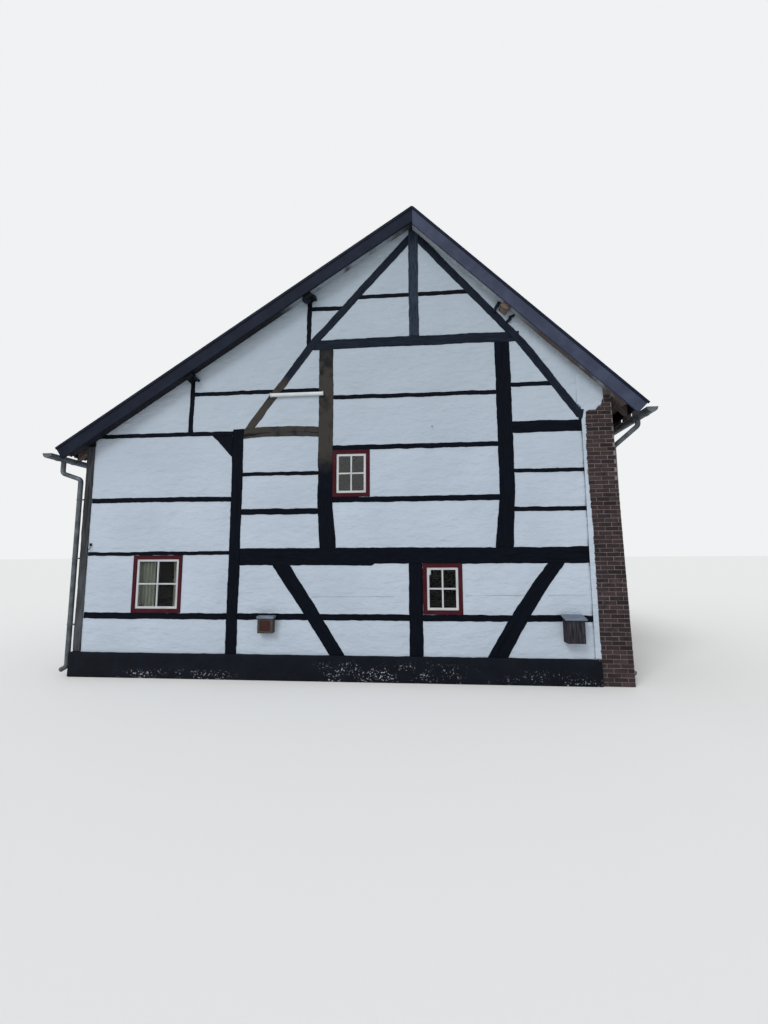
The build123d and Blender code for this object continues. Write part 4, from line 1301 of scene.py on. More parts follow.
@dataclass
class Brickwork:
    """Hand made bricks in lime mortar, laid course by course over the faces of the brick wall."""

    course: float = 0.0725
    joint: float = 0.009
    stretcher: float = 0.22
    header: float = 0.11
    least: float = 0.045
    least_span: float = 0.03
    proud: float = 0.005
    sunk: float = 0.012
    lintel: float = 0.2175
    lintel_rest: float = 0.1
    arris: float = 0.003
    shake: float = 0.0008
    reveal: float = 0.1
    reveal_sunk: float = 0.004
    wall_gap: float = 0.02
    pier_top: float = 5.2
    pier_shifts: tuple = (0.055, 0.165)
    sill: tuple = (0.15, 0.065, 0.03)
    sill_fall: float = 9.0
    sill_past: float = 0.05
    chance: random.Random = field(default_factory=lambda: random.Random(7))
    long_places: list = field(default_factory=list)
    short_places: list = field(default_factory=list)

    def openings(self) -> list[Sequence[float]]:
        """The openings of the long wall, each as its left, bottom, right and top along Y and Z."""
        found = [(left, low, left + width, low + height) for left, low, width, height in OPENINGS.brick]
        left, bottom, width, height = OPENINGS.doorway
        return found + [(left, 0.0, left + width, bottom + height)]

    def wall_face(self, z: float) -> float:
        """The place along X of the long wall's battered outer face at a height."""
        return HOUSE.brick_foot + (HOUSE.brick_head - HOUSE.brick_foot) * z / HOUSE.brick_top

    def brick(self, length: float) -> Form:
        """One brick's shown end or side, with worn arrises and no back."""
        depth = self.proud + self.sunk
        form = box_form((length, self.course - self.joint, depth), (0, 0, self.proud - depth / 2))
        back = [face for face in form.faces if face.normal.z < -0.5]
        bmesh.ops.delete(form, geom=back, context="FACES_ONLY")
        front = [edge for edge in form.edges if all(vertex.co.z > 0 for vertex in edge.verts)]
        bevel(form, front, self.arris)
        return form

    def lay(self, middle: Vector, across: Vector, up: Vector, length: float, height: float = 0.0) -> None:
        """Notes one brick, with small slips of its own."""
        out = across.cross(up)
        slip = across * self.chance.uniform(-0.002, 0.002) + up * self.chance.uniform(-0.0015, 0.0015)
        tilt = up * self.chance.gauss(0, 0.008)
        is_long = length > (self.stretcher + self.header) / 2 - self.joint
        nominal = (self.stretcher if is_long else self.header) - self.joint
        high = (height or self.course - self.joint) / (self.course - self.joint)
        place = middle + slip + out * self.chance.uniform(-0.0015, 0.0015)
        matrix = turned((across + tilt) * length / nominal, up * high, out, place)
        tone = min(1.0, max(0.0, self.chance.gauss(0.45, 0.24)))
        (self.long_places if is_long else self.short_places).append((np.array(matrix), tone))

    def bricks(self, start: float, end: float, size: float, shift: float) -> Iterable[tuple[float, float]]:
        """The ends of the bricks of one course between two places."""
        place = start - shift
        while place < end:
            low, high = max(place, start), min(place + size, end)
            if high - low > self.least:
                yield low, high
            place += size

    def lay_wall(self, start: Vector, up: Vector, holes: Iterable[Sequence[float]]) -> None:
        """Lays the long wall, courses of headers and stretchers by turns, cut round its openings.

        Args:
            start: The wall's lower left corner, seen from outside.
            up: The direction up the battered wall.
            holes: Left, bottom, right and top of each opening, measured from the corner.
        """
        for number in range(int((HOUSE.brick_top - self.wall_gap) / self.course)):
            level = (number + 0.5) * self.course
            spans = [(0.0, HOUSE.half_depth * 2)]
            for left, bottom, right, top in holes:
                if bottom - self.course * 0.4 < level < top:
                    spans = [
                        part
                        for low, high in spans
                        for part in ((low, min(high, left)), (max(low, right), high))
                        if part[1] - part[0] > self.least_span
                    ]
            size = self.header if number % 2 else self.stretcher
            shift = self.header if number % 4 == 2 else self.header / 2 if number % 2 else 0.0
            for span in spans:
                for low, high in self.bricks(*span, size, shift):
                    self.lay(start + Y * ((low + high) / 2) + up * level, Y, up, high - low - self.joint)

    def lay_lintels(self, start: Vector, up: Vector, openings: Iterable[Sequence[float]]) -> None:
        """Stands a row of bricks on end over each opening."""
        for left, _, right, top in openings:
            step, places = divided(left - self.lintel_rest, right + self.lintel_rest, self.course)
            for along in places:
                middle = start + Y * along + up * (top + self.lintel / 2)
                self.lay(middle, up, -Y, self.lintel - self.joint, step - self.joint)

    def lay_pier(self) -> None:
        """Lays the front end of the long wall, up to the boards under the verge."""
        for number in range(int(self.pier_top / self.course)):
            level = (number + 0.5) * self.course
            roof = HOUSE.slope_place(Slope.RIGHT, level + self.course / 2, HOUSE.under_soffit)
            end = min(roof, self.wall_face(min(level, HOUSE.brick_top)))
            shift = self.pier_shifts[number % 2] + self.chance.uniform(-0.004, 0.004)
            for low, high in self.bricks(HOUSE.brick_inner, end, self.stretcher, shift):
                self.lay(Vector(((low + high) / 2, -HOUSE.half_depth, level)), X, Z, high - low - self.joint)

    def lay_reveals(self) -> None:
        """Lays the jambs of the openings, and the undersides of their lintels."""
        length = self.reveal - self.joint
        for left, bottom, right, top in self.openings():
            for number in range(int(top / self.course)):
                level = (number + 0.5) * self.course
                if level < bottom + self.course / 3:
                    continue
                x = self.wall_face(level) - self.reveal / 2 - self.reveal_sunk
                self.lay(Vector((x, left, level)), -X, Z, length)
                self.lay(Vector((x, right, level)), X, Z, length)
            x = self.wall_face(top) - self.reveal / 2 - self.reveal_sunk
            step, places = divided(left, right, self.course)
            for y in places:
                self.lay(Vector((x, y, top)), X, -Y, length, step - self.joint)

    def build_sills(self) -> None:
        """Sets a sloping row of bricks on edge under each window of the long wall."""
        depth, height, proud = self.sill
        fall = math.radians(self.sill_fall)
        out = Vector((math.cos(fall), 0, -math.sin(fall)))
        up = Vector((math.sin(fall), 0, math.cos(fall)))
        places, tones = [], []
        for left, bottom, width, _ in OPENINGS.brick:
            x = self.wall_face(bottom) + proud - depth / 2
            step, middles = divided(left - self.sill_past, left + width + self.sill_past, self.course)
            for y in middles:
                z = bottom - height / 2 + 0.004 + self.chance.uniform(-0.001, 0.001)
                places.append(turned(out, Y * ((step - self.joint) / self.course), up, (x, y, z)))
                tones.append(self.chance.uniform(0.2, 0.7))
        form = box_form((depth, self.course, height), (0, 0, 0), 0.005)
        place_piece("sill_bricks", repeat(form, places, tones, self.shake), [BRICK], "brick")

    def build_head_bed(self) -> None:
        """Fills the wall behind the highest bricks of both piers with mortar."""
        forms = []
        left, right, high = HOUSE.brick_inner, HOUSE.brick_head, 0.4
        ridge = Vector((HOUSE.ridge_x, 0, HOUSE.slope_height(Slope.RIGHT, HOUSE.ridge_x, HOUSE.covering)))
        for gable in Gable:
            y = gable.value * (HOUSE.half_depth - 0.006)
            middle = ((left + right) / 2, y, HOUSE.brick_top - 0.01 + high / 2)
            form = box_form((right - left, 0.01, high), middle)
            slice_up(form, 0.05, "XZ")
            cut(form, ridge, Slope.RIGHT.out, clear=True)
            fill_holes(form)
            weather(form, (0, 0.002, 0))
            forms.append(form)
        place_piece("pier_head_mortar", forms, [LIME_MORTAR], "brick")

    def build_bricks(self, name: str, form: Form, laid: list) -> None:
        """Joins the noted bricks of one length, and mirrors the front pier's to the back."""
        places = np.array([matrix for matrix, _ in laid])
        tones = np.array([tone for _, tone in laid])
        on_pier = (places[:, 1, 3] < -HOUSE.half_depth + 0.02) & (places[:, 1, 2] < -0.5)
        mirrored = np.diag([1.0, -1.0, 1.0, 1.0]) @ places[on_pier] @ np.diag([-1.0, 1.0, 1.0, 1.0])
        places = np.concatenate([places, mirrored])
        tones = np.concatenate([tones, tones[on_pier]])
        place_piece(name, repeat(form, places, tones, self.shake), [BRICK], "brick")

    def build(self) -> None:
        """Lays the long wall, its reveals and both its ends, and joins the bricks."""
        up = Vector((HOUSE.brick_head - HOUSE.brick_foot, 0, HOUSE.brick_top)).normalized()
        start = Vector((HOUSE.brick_foot, -HOUSE.half_depth, 0))
        half, rest = HOUSE.half_depth, self.lintel_rest
        openings = [(left + half, low, right + half, high) for left, low, right, high in self.openings()]
        bands = [(left - rest, high, right + rest, high + self.lintel) for left, _, right, high in openings]
        self.lay_wall(start, up, openings + bands)
        self.lay_lintels(start, up, openings)
        self.lay_pier()
        self.lay_reveals()
        self.build_bricks("long_bricks", self.brick(self.stretcher - self.joint), self.long_places)
        self.build_bricks("short_bricks", self.brick(self.header - self.joint), self.short_places)
        self.build_sills()
        self.build_head_bed()


@dataclass
class PantileRoof:
    """Clay pantiles in lapped rows on a boarded deck, with half round tiles along the ridge."""

    gauge: float = 0.27
    lap: float = 0.07
    cover: float = 0.2023
    side_lap: float = 0.012
    tilt: float = 0.012
    thickness: float = 0.01
    deck: float = 0.006
    deck_step: float = 0.14
    sunk: float = 0.014
    profile: tuple = (
        (0.0, -0.015),
        (0.14, -0.024),
        (0.32, -0.027),
        (0.50, -0.026),
        (0.64, -0.018),
        (0.77, -0.005),
        (0.88, 0.0),
        (0.95, -0.003),
        (1.0, -0.010),
    )
    ridge_radius: float = 0.118
    ridge_thickness: float = 0.014
    ridge_pitch: float = 0.36
    ridge_lap: float = 0.05
    ridge_inset: float = 0.1
    ridge_lean: float = 5.0
    ridge_from: float = math.cos(math.radians(80))
    ridge_taper: float = 0.9

    def tile(self) -> Form:
        """One tile, its tail at the origin and its head up the slope."""
        width, length = self.cover + self.side_lap, self.gauge + self.lap
        cells = len(self.profile) - 1
        form = sheet(0, 1, 0, 1, 1 / cells, 1)
        for vertex in form.verts:
            share, height = self.profile[round(vertex.co.x * cells)]
            up_slope = vertex.co.y
            vertex.co = (share * width, up_slope * length, height - up_slope * self.tilt)
        thicken(form, self.thickness, lambda _: Z)
        return form

    def build_slope(self, slope: Slope) -> None:
        """Tiles one slope, and lays the deck under it."""
        down, out, across = slope.down, slope.out, Y * slope.way
        length, half = HOUSE.slope_length(slope), HOUSE.covering_half
        ridge = Vector((HOUSE.ridge_x, 0, HOUSE.ridge_z))
        columns = round(2 * half / self.cover)
        cover = (2 * half - self.side_lap) / columns
        chance = random.Random(11 + slope.way)
        places, tones = [], []
        for row in range(int((length - 0.05) / self.gauge) + 1):
            tail = length - row * self.gauge
            head = min(1.0, (tail - 0.02) / (self.gauge + self.lap))
            for column in range(columns):
                side = -half + column * cover
                origin = ridge + down * tail + across * side - out * (self.sunk + chance.uniform(0, 0.0012))
                skew = down * chance.gauss(0, 0.004)
                places.append(turned(across * (cover / self.cover) + skew, -down * head, out, origin))
                tones.append(min(1.0, max(0.0, chance.gauss(0.45, 0.2))))
        name = slope.name.lower()
        mesh = repeat(self.tile(), places, tones)
        place_piece(f"pantiles_{name}", mesh, [ROOF_CLAY], "roof_tile", [f"{name}_roof"])
        form = box_form((length - 0.01, 2 * half, self.deck), (0, 0, 0))
        set_up(form, down, Y, out, ridge + down * (length / 2) - out * (HOUSE.covering - self.deck / 2))
        bmesh.ops.recalc_face_normals(form, faces=form.faces)
        slice_up(form, self.deck_step, "X")
        place_piece(f"roof_deck_{name}", form, [AGED_PINE], "roof_timber")

    def build_ridge(self) -> None:
        """Lays lapped half round tiles along the ridge."""
        low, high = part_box("ridge_cap")
        radius, span = self.ridge_radius, (self.ridge_from, 2.0)
        tile_length = self.ridge_pitch + self.ridge_lap
        form = sleeve(radius, tile_length, self.ridge_thickness, span, self.ridge_taper)
        length = high.y - low.y - self.ridge_lap - 2 * self.ridge_inset
        count = round(length / self.ridge_pitch)
        step = (length - 0.005) / count
        lean = math.radians(self.ridge_lean)
        across = Vector((math.cos(lean), 0, -math.sin(lean)))
        up = Vector((math.sin(lean), 0, math.cos(lean)))
        chance = random.Random(5)
        places, tones = [], []
        for number in range(count):
            z = high.z - radius - 0.003 + chance.uniform(-0.003, 0)
            origin = (HOUSE.ridge_x, low.y + self.ridge_inset + number * step, z)
            places.append(turned(-across, up, Y, origin))
            tones.append(chance.uniform(0.2, 0.8))
        place_piece("ridge_tiles", repeat(form, places, tones), [ROOF_CLAY], "roof_tile", ["ridge_cap"])

    def build(self) -> None:
        """Tiles both slopes and the ridge."""
        for slope in Slope:
            self.build_slope(slope)
        self.build_ridge()


@dataclass
class GlazingBars:
    """One upright and one level bar in each window, the level one in two halves."""

    bar: float = 0.028
    depth: float = 0.026
    margin: float = 0.112
    sunk: float = 0.017
    brick_front: float = 4.695

    def middles(self) -> Iterable[tuple[Vector, Vector, Vector, float, float]]:
        """The middle of every window's bars, its direction across, outwards, its width and its height."""
        walls = [(Y * gable.value * HOUSE.half_depth, X, Y * gable.value, OPENINGS.gable) for gable in Gable]
        walls.append((X * HOUSE.left_face, Y, -X, OPENINGS.side))
        walls.append((X * self.brick_front, Y, X, OPENINGS.brick))
        for face, across, out, windows in walls:
            for left, bottom, width, height in windows:
                flat = across * (left + width / 2) + Z * (bottom + height / 2)
                yield face + flat - out * (self.sunk + self.depth / 2), across, out, width, height

    def build(self) -> None:
        """Makes the bars of all the windows in one piece."""
        forms = []
        for middle, across, out, width, height in self.middles():
            clear_width, clear_height = width - 2 * self.margin, height - 2 * self.margin
            upright = (self.bar, clear_height + 0.01, self.depth)
            level = ((clear_width - self.bar) / 2 + 0.004, self.bar, self.depth)
            beside = (clear_width + self.bar) / 4
            for size, x in ((upright, 0), (level, -beside), (level, beside)):
                form = set_up(box_form(size, (x, 0, 0), 0.005), across, Z, out, middle)
                bmesh.ops.recalc_face_normals(form, faces=form.faces)
                forms.append(form)
        place_piece("glazing_bars", forms, [WHITE_PAINT], "white_paint")


@dataclass
class Curtains:
    """Voile curtains drawn aside behind the wide window at the left of the front gable.

    Each panel has its name, left edge, hung width, cut width and number of folds.
    """

    panels: tuple = (("curtain_left", -3.79, 0.34, 0.56, 5), ("curtain_right", -3.1, 0.2, 0.34, 3))
    top: float = 2.075
    drop: float = 0.92
    back: float = -5.57
    rod_radius: float = 0.006
    cloth_thickness: float = 0.0012
    points_in_fold: int = 10
    rows: int = 12

    def fold_depth(self, width: float, cut_width: float, folds: int) -> float:
        """The depth of fold that takes up the whole cut width."""
        wave = np.sin(np.linspace(0, math.tau * folds, 60 * folds + 1))
        low, high = 0.0, 0.1
        for _ in range(30):
            middle = (low + high) / 2
            length = np.hypot(width / (60 * folds), np.diff(wave * middle)).sum()
            low, high = (middle, high) if length < cut_width else (low, middle)
        return low

    def build_panel(self, name: str, left: float, width: float, cut_width: float, folds: int) -> None:
        """Hangs one curtain in even folds."""
        depth = self.fold_depth(width, cut_width, folds)
        form = sheet(0, 1, 0, 1, 1 / (folds * self.points_in_fold), 1 / self.rows)
        layer = form.loops.layers.uv.new("sheet")
        for face in form.faces:
            for loop in face.loops:
                loop[layer].uv = (loop.vert.co.x * cut_width, loop.vert.co.y * self.drop)
        for vertex in form.verts:
            share, level, _ = vertex.co
            wave = depth * math.sin(math.tau * folds * share + 0.25 * math.sin(5 * level))
            vertex.co = (left + width * share, self.back + wave, self.top - self.drop * (1 - level))
        bmesh.ops.solidify(form, geom=form.faces[:], thickness=self.cloth_thickness)
        bmesh.ops.recalc_face_normals(form, faces=form.faces)
        piece = place_piece(name, form, [VOILE], "white_paint", smooth=True)

    def build(self) -> None:
        """Hangs the rod and both curtains."""
        left, _, width, _ = OPENINGS.gable[2]
        middle = (left + width / 2, self.back, self.top - 0.004)
        form = set_up(rod(self.rod_radius, width - 0.02, 8), Y, Z, X, middle)
        place_piece("curtain_rod", form, [IRON], "tarred_timber")
        for panel in self.panels:
            self.build_panel(*panel)


@dataclass
class Plinth:
    """The tarred plinth, lumpy and with a wandering upper edge."""

    arris: float = 0.03
    step: float = 0.09
    foot: float = 0.02
    reach: tuple = (0.008, 0.008, 0.018)
    flaked: tuple = ((0.8, 0.05, 1.9, 0.36), (3.6, 0.02, 0.9, 0.2), (-2.9, 0.02, 1.3, 0.16))
    round_from: float = 4.2
    round_reach: float = 0.18
    round_fall: float = 0.045

    def build(self) -> None:
        """Makes the plinth from its solid."""
        form = merged_copy("plinth")
        soften(form, self.arris, 3)
        slice_up(form, self.step, "XYZ")
        for vertex in form.verts:
            if vertex.co.z < self.foot:
                continue
            past = max(0.0, (vertex.co.x - self.round_from) / self.round_reach)
            vertex.co.z -= self.round_fall * past * past * vertex.co.z / HOUSE.plinth_top
            moved = noise.noise_vector(vertex.co / 0.22) * 0.7 + noise.noise_vector(vertex.co / 0.08) * 0.3
            moved.z = abs(moved.z)
            vertex.co += moved * Vector(self.reach)
        lay_bare(form, self.flaked)
        place_piece("tarred_plinth_render", form, [TAR], "tarred_plinth", ["plinth"], smooth=True)


@dataclass
class Floors:
    """Flagstones on the ground, and joists and boards above."""

    flag: tuple = (0.6, 0.45, 0.03)
    flag_joint: float = 0.012
    bed_sunk: float = 0.008
    board: float = 0.19
    board_thickness: float = 0.03
    board_gap: float = 0.003
    joist: tuple = (0.1, 0.15)
    joist_spacing: float = 0.62

    def build_flags(self) -> None:
        """Lays the flagstones in rows on their bed."""
        low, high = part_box("ground_floor")
        long, wide, thick = self.flag
        column, columns = divided(low.x, high.x, long)
        row, rows = divided(low.y, high.y, wide)
        stone = box_form((column - self.flag_joint, row - self.flag_joint, thick), (0, 0, 0), 0.006)
        chance = random.Random(17)
        top = high.z - thick / 2
        places = [Matrix.Translation((x, y, top - chance.uniform(0, 0.002))) for y in rows for x in columns]
        stones = bmesh.new()
        stones.from_mesh(repeat(stone, places))
        high.z -= self.bed_sunk
        bed = box_form(high - low, (low + high) / 2, 0.004)
        place_piece("flagstones", [stones, bed], [FLAGSTONE], "stone_floor", ["ground_floor"])

    def build_boards(self) -> None:
        """Lays joists across the house and boards along it."""
        low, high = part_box("first_floor")
        middle, size = (low + high) / 2, high - low
        width, places = divided(low.x, high.x, self.board)
        board = (width - self.board_gap, size.y, self.board_thickness)
        forms = [box_form(board, (x, 0, high.z - self.board_thickness / 2), 0.002) for x in places]
        wide, deep = self.joist
        count = round((size.y - wide) / self.joist_spacing)
        for number in range(count + 1):
            y = low.y + wide / 2 + (size.y - wide) * number / count
            forms.append(box_form((size.x, wide, deep), (middle.x, y, low.z + deep / 2), 0.006))
        place_piece("joists_and_boards", forms, [FLOOR_PINE], "floor_boards", ["first_floor"])

    def build(self) -> None:
        """Makes both floors."""
        self.build_flags()
        self.build_boards()


@dataclass
class Door:
    """The plank door: upright planks on three ledges, with two strap hinges and a latch."""

    planks: int = 7
    gap: float = 0.003
    plank_thickness: float = 0.03
    ledge: tuple = (0.02, 0.14)
    ledge_short: float = 0.04
    ledge_levels: tuple = (0.3, 1.0, 1.65)
    strap: tuple = (0.005, 0.6, 0.045)
    strap_levels: tuple = (0.3, 1.65)
    nails: int = 4
    nail_step: float = 0.15
    latch_inset: float = 0.07
    latch_level: float = 1.1
    handle: tuple = (0.008, 0.13)
    arm_reach: float = 0.055
    arris: float = 0.002

    def build_irons(self, low: Vector, high: Vector) -> list[Form]:
        """The straps with their nails, and the latch's plate, handle and two arms."""
        thick, long, tall = self.strap
        irons = []
        for level in self.strap_levels:
            z = low.z + level
            middle = (high.x + thick / 2, low.y + 0.01 + long / 2, z)
            irons.append(box_form((thick, long, tall), middle, self.arris))
            for number in range(self.nails):
                place = (high.x + thick + 0.002, low.y + 0.06 + number * self.nail_step, z)
                irons.append(set_up(rod(0.011, 0.006, 8), Y, Z, X, place))
        y, z = high.y - self.latch_inset, self.latch_level
        irons.append(box_form((0.005, 0.04, 0.2), (high.x + 0.003, y, z), self.arris))
        irons.append(set_up(rod(*self.handle, 8), X, Y, Z, (high.x + 0.035, y, z)))
        for side in (-self.arm_reach, self.arm_reach):
            irons.append(box_form((0.035, 0.012, 0.012), (high.x + 0.02, y, z + side), self.arris))
        return irons

    def build(self) -> None:
        """Makes the leaf and its irons."""
        low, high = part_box("plank_door")
        middle = (low + high) / 2
        width, places = divided(low.y, high.y, (high.y - low.y) / self.planks)
        size = (self.plank_thickness, width - self.gap, high.z - low.z)
        x = high.x - self.plank_thickness / 2
        forms = [box_form(size, (x, y, middle.z), 0.005) for y in places]
        thick, tall = self.ledge
        size = (thick, high.y - low.y - self.ledge_short, tall)
        for level in self.ledge_levels:
            forms.append(box_form(size, (low.x + thick / 2, middle.y, low.z + level), 0.006))
        place_piece("ledged_plank_door", forms, [RED_PAINT], "red_paint", ["plank_door"])
        place_piece("door_irons", self.build_irons(low, high), [IRON], "tarred_timber")


@dataclass
class GableThings:
    """The nest box of upright boards, the small stained box and the strip lamp on the front gable."""

    board: float = 0.018
    seam: float = 0.005
    arris: float = 0.002
    front_boards: int = 4
    side_boards: int = 3
    lid_fall: float = 0.023
    panel_margin: float = 0.055
    panel_depth: float = 0.008
    lamp_tray: float = 0.022
    lamp_tube: float = 0.025
    lamp_oval: float = 1.32
    lamp_end: float = 0.014

    def build_nest_box(self) -> None:
        """Makes the nest box: boards at the front and sides, a floor and a back."""
        low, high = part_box("nest_box")
        board, middle, size = self.board, (low + high) / 2, high - low
        top = 2 * high.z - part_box("box_lids")[1].z - self.lid_fall
        width, places = divided(low.x, high.x, size.x / self.front_boards)
        front = (width - self.seam, board, top - low.z)
        forms = [box_form(front, (x, low.y + board / 2, (low.z + top) / 2), self.arris) for x in places]
        depth, places = divided(low.y + board, high.y, (size.y - board) / self.side_boards)
        for x in (low.x + board / 2, high.x - board / 2):
            for number, y in enumerate(places):
                end = top + (number + 0.3) * (high.z - top) / self.side_boards
                side = (board, depth - self.seam, end - low.z)
                forms.append(box_form(side, (x, y, (low.z + end) / 2), self.arris))
        wide = size.x - 2 * board
        floor_place = (middle.x, middle.y + board / 2, low.z + board / 2)
        forms.append(box_form((wide, size.y - board, board), floor_place, self.arris))
        back_place = (middle.x, high.y - board / 2, middle.z + board / 2)
        forms.append(box_form((wide, board, size.z - board), back_place, self.arris))
        place_piece("boarded_nest_box", forms, [WEATHERED_PINE], "weathered_timber", ["nest_box"])

    def build_small_box(self) -> None:
        """Makes the small box with a sunk front panel."""
        form = merged_copy("small_box")
        front = [face for face in form.faces if face.normal.y < -0.9]
        bmesh.ops.inset_region(form, faces=front, thickness=self.panel_margin, depth=0)
        bmesh.ops.inset_region(form, faces=front, thickness=0.003, depth=-self.panel_depth)
        soften(form, self.arris)
        low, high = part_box("small_box")
        inner = (high.x - low.x) / 2 - self.panel_margin * 0.9
        for face in form.faces:
            place = face.calc_center_median() - (low + high) / 2
            face.material_index = int(max(abs(place.x), abs(place.z)) > inner)
        place_piece("stained_small_box", form, [BROWN_PAINT, BOX_PINE], "brown_paint", ["small_box"])

    def build_lamp(self) -> None:
        """Makes the strip lamp: a tray against the wall, a round diffuser and two end caps."""
        low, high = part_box("wall_lamp")
        middle, size = (low + high) / 2, high - low
        tray_size = (size.x - 0.01, self.lamp_tray, size.z - 0.012)
        tray = box_form(tray_size, (middle.x, high.y - self.lamp_tray / 2, middle.z), 0.004, 2)
        tube = rod(self.lamp_tube, size.x - 2 * self.lamp_end, 20)
        bmesh.ops.scale(tube, verts=tube.verts, vec=(1, self.lamp_oval, 1))
        set_up(tube, Y, Z, X, middle)
        ends = [
            box_form((self.lamp_end, size.y, size.z), (x, middle.y, middle.z), 0.01, 3)
            for x in (low.x + self.lamp_end / 2, high.x - self.lamp_end / 2)
        ]
        place_piece("strip_lamp", [tray, tube, *ends], [LAMP_PLASTIC], "white_plastic", ["wall_lamp"])

    def build(self) -> None:
        """Makes all three."""
        self.build_nest_box()
        self.build_small_box()
        self.build_lamp()


@dataclass
class RainGoods:
    """Rolled beads and joint sleeves on the gutters, and collars on the downpipes."""

    gutters: tuple = ((-1, -5.35, 4.033), (1, 5.275, 4.5615))
    gutter_radius: float = 0.09
    gutter_half: float = 6.05
    bead: float = 0.008
    joints: tuple = (-3.025, 0.0, 3.025)
    sleeve_width: float = 0.05
    sheet_gap: float = 0.0005
    pipes: tuple = ((-4.971, -5.69), (4.971, -5.32))
    pipe_radius: float = 0.042
    collar_levels: tuple = (0.42, 1.55, 2.72)
    collar_height: float = 0.06

    def build(self) -> None:
        """Makes all the added sheet work in one piece."""
        forms = []
        for way, x, rim in self.gutters:
            bead = rod(self.bead, 2 * self.gutter_half - 0.012)
            place = (x + way * (self.gutter_radius - self.bead * 0.4), 0, rim - self.bead * 0.3)
            forms.append(set_up(bead, X, -Z, Y, place))
            for joint in self.joints:
                half = sleeve(self.gutter_radius + self.sheet_gap, self.sleeve_width, 0.002, (-2.0, 0.05))
                forms.append(set_up(half, -X, Z, Y, (x, joint - self.sleeve_width / 2, rim)))
        for x, y in self.pipes:
            for level in self.collar_levels:
                collar = sleeve(self.pipe_radius + self.sheet_gap, self.collar_height, 0.003)
                forms.append(set_up(collar, X, Y, Z, (x, y, level)))
        place_piece("zinc_beads_and_collars", forms, [SHEET_ZINC], "zinc")


@dataclass
class Dressing:
    """Finishes for the solids that keep their shape, the upper panes in a more reflective glass that stands
    for the sky's reflection.
    """

    finishes: tuple = (
        # The infill's faces get the dark room wash, which is painted shade.
        ("gable_infill", ROOM_WASH_PAINTED_SHADE),
        ("side_wall_infill", ROOM_WASH_PAINTED_SHADE),
        ("eave_infill", ROOM_WASH_PAINTED_SHADE),
        ("right_brick_wall", LIME_MORTAR),
        ("window_panes", WINDOW_GLASS, UPPER_GLASS_PAINTED_REFLECTION),
        ("gutters", SHEET_ZINC),
        ("gutter_brackets", SHEET_ZINC),
        ("downpipes", SHEET_ZINC),
        ("pipe_clips", SHEET_ZINC),
    )
    upper_from: float = 2.6

    def build(self) -> None:
        """Puts each finish on its solid."""
        for name, *finishes in self.finishes:
            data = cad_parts[name].data
            data.materials.clear()
            for finish in finishes:
                data.materials.append(finish.build())
        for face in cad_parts["window_panes"].data.polygons:
            face.material_index = int(face.center.z > self.upper_from)


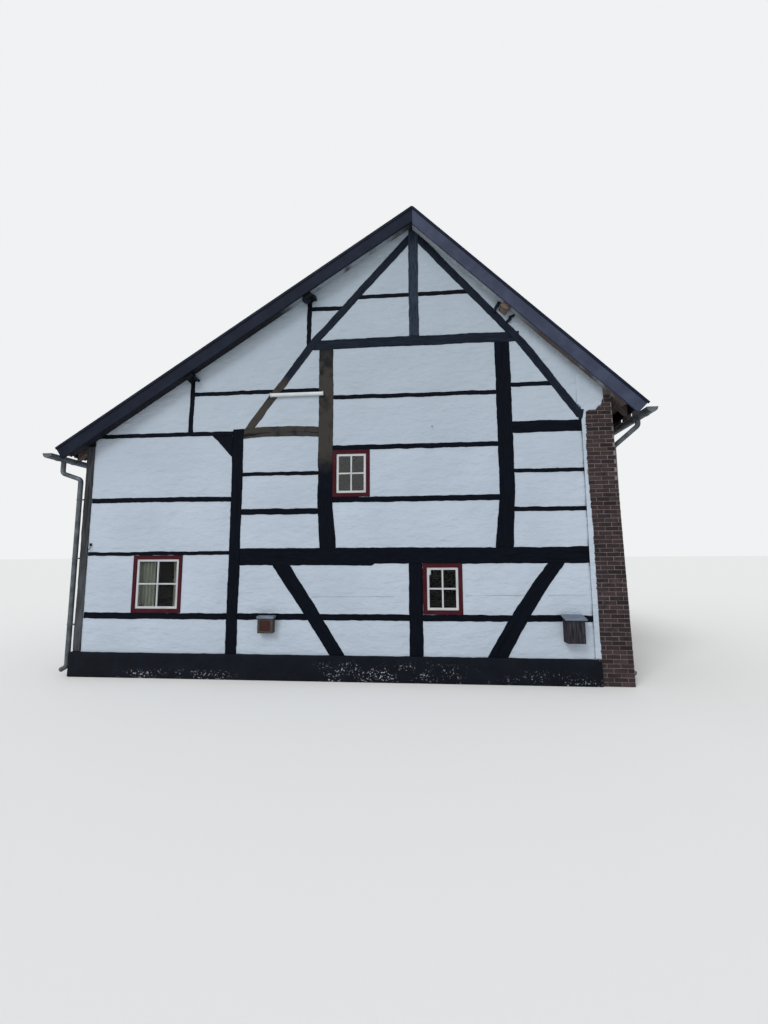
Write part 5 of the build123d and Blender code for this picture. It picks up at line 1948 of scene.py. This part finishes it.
@dataclass
class Studio:
    """A pale floor, soft even light and the camera at the picture's angle. Angles are in degrees."""

    camera_place: tuple = (1.344, -12.73, 2.153)
    focal: float = 400.0
    picture_height: float = 1024.0
    sensor: float = 36.0
    far: float = 1000.0
    pitch: float = 6.10
    yaw: float = -4.36
    roll: float = 0.27
    floor_reach: float = 300.0
    sky: tuple = ("#F5F6F8", 0.72)
    backdrop: tuple = ("#F1F2F3", 1.0)
    lamp_energy: float = 1.3
    lamp_spread: float = 25.0
    lamp_turn: tuple = (48.0, 0.0, -32.0)

    def place(self, name: str, data: bpy.types.ID) -> bpy.types.Object:
        """Makes an object and puts it in the scene."""
        made = bpy.data.objects.new(name, data)
        bpy.context.scene.collection.objects.link(made)
        return made

    def build_camera(self) -> None:
        """Sets the camera."""
        data = bpy.data.cameras.new("camera")
        data.sensor_width = self.sensor
        data.lens = self.focal / self.picture_height * self.sensor
        data.clip_end = self.far
        pitch, yaw, roll = (math.radians(angle) for angle in (self.pitch, self.yaw, self.roll))
        ahead = Vector((math.sin(yaw) * math.cos(pitch), math.cos(yaw) * math.cos(pitch), math.sin(pitch)))
        right = Vector((math.cos(yaw), -math.sin(yaw), 0))
        below = ahead.cross(right)
        turned_right = right * math.cos(roll) + below * math.sin(roll)
        turned_below = below * math.cos(roll) - right * math.sin(roll)
        camera = self.place("camera", data)
        camera.matrix_world = turned(turned_right, -turned_below, -ahead, self.camera_place)
        bpy.context.scene.camera = camera

    def build_floor(self) -> None:
        """Lays the floor, which the camera and mirrors see as a pale even ground with the house's shadow."""
        reach = self.floor_reach
        floor = self.place("floor", to_mesh(sheet(-reach, reach, -reach, reach, 2 * reach, 2 * reach)))
        floor.data.materials.append(PALE_FLOOR.build())
        floor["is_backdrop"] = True

    def build_light(self) -> None:
        """Lights the house with an even sky and one broad soft lamp."""
        world = bpy.data.worlds.new("soft_sky")
        world.use_nodes = True
        tree = world.node_tree
        tree.nodes.clear()
        rays = add(tree, "ShaderNodeLightPath").outputs
        seen = rays["Is Camera Ray"]
        for kind in ("Is Glossy Ray", "Is Transmission Ray"):
            seen = both(tree, seen, rays[kind], "MAXIMUM")
        sky, backdrop = (
            add(tree, "ShaderNodeBackground", {"Color": linear(code), "Strength": strength}).outputs[0]
            for code, strength in (self.sky, self.backdrop)
        )
        mixed = add(tree, "ShaderNodeMixShader", {0: seen, 1: sky, 2: backdrop}).outputs[0]
        add(tree, "ShaderNodeOutputWorld", {"Surface": mixed})
        bpy.context.scene.world = world
        data = bpy.data.lights.new("broad_lamp", "SUN")
        data.energy = self.lamp_energy
        data.angle = math.radians(self.lamp_spread)
        self.place("broad_lamp", data).rotation_euler = [math.radians(angle) for angle in self.lamp_turn]

    def build(self) -> None:
        """Makes the camera, the floor and the light."""
        bpy.context.scene.view_settings.view_transform = "Standard"
        self.build_camera()
        self.build_floor()
        self.build_light()


def write_sizes() -> None:
    """Works out the solids' box and the visual model's box, as plain lists."""
    boxes = {"cad": CAD_BOX, "visual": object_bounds()}
    plain = {name: [list(corner) for corner in box] for name, box in boxes.items()}


def main() -> None:
    """Builds the house piece by piece and reports each one."""
    logging.basicConfig(level=logging.INFO, format="%(name)s %(message)s")
    noise.seed_set(NOISE_SEED)
    Studio().build()
    Dressing().build()
    timbers = Frame().build()
    PlasterSkin().build(piece for piece in timbers if piece.name.startswith(("hewn", "painted_window")))
    parts = (Brickwork, PantileRoof, EdgeBoards, GlazingBars, Curtains, Plinth)
    for part in (*parts, Floors, Door, GableThings, RainGoods, Fixings):
        part().build()
    write_sizes()


if __name__ == "__main__":
    main()
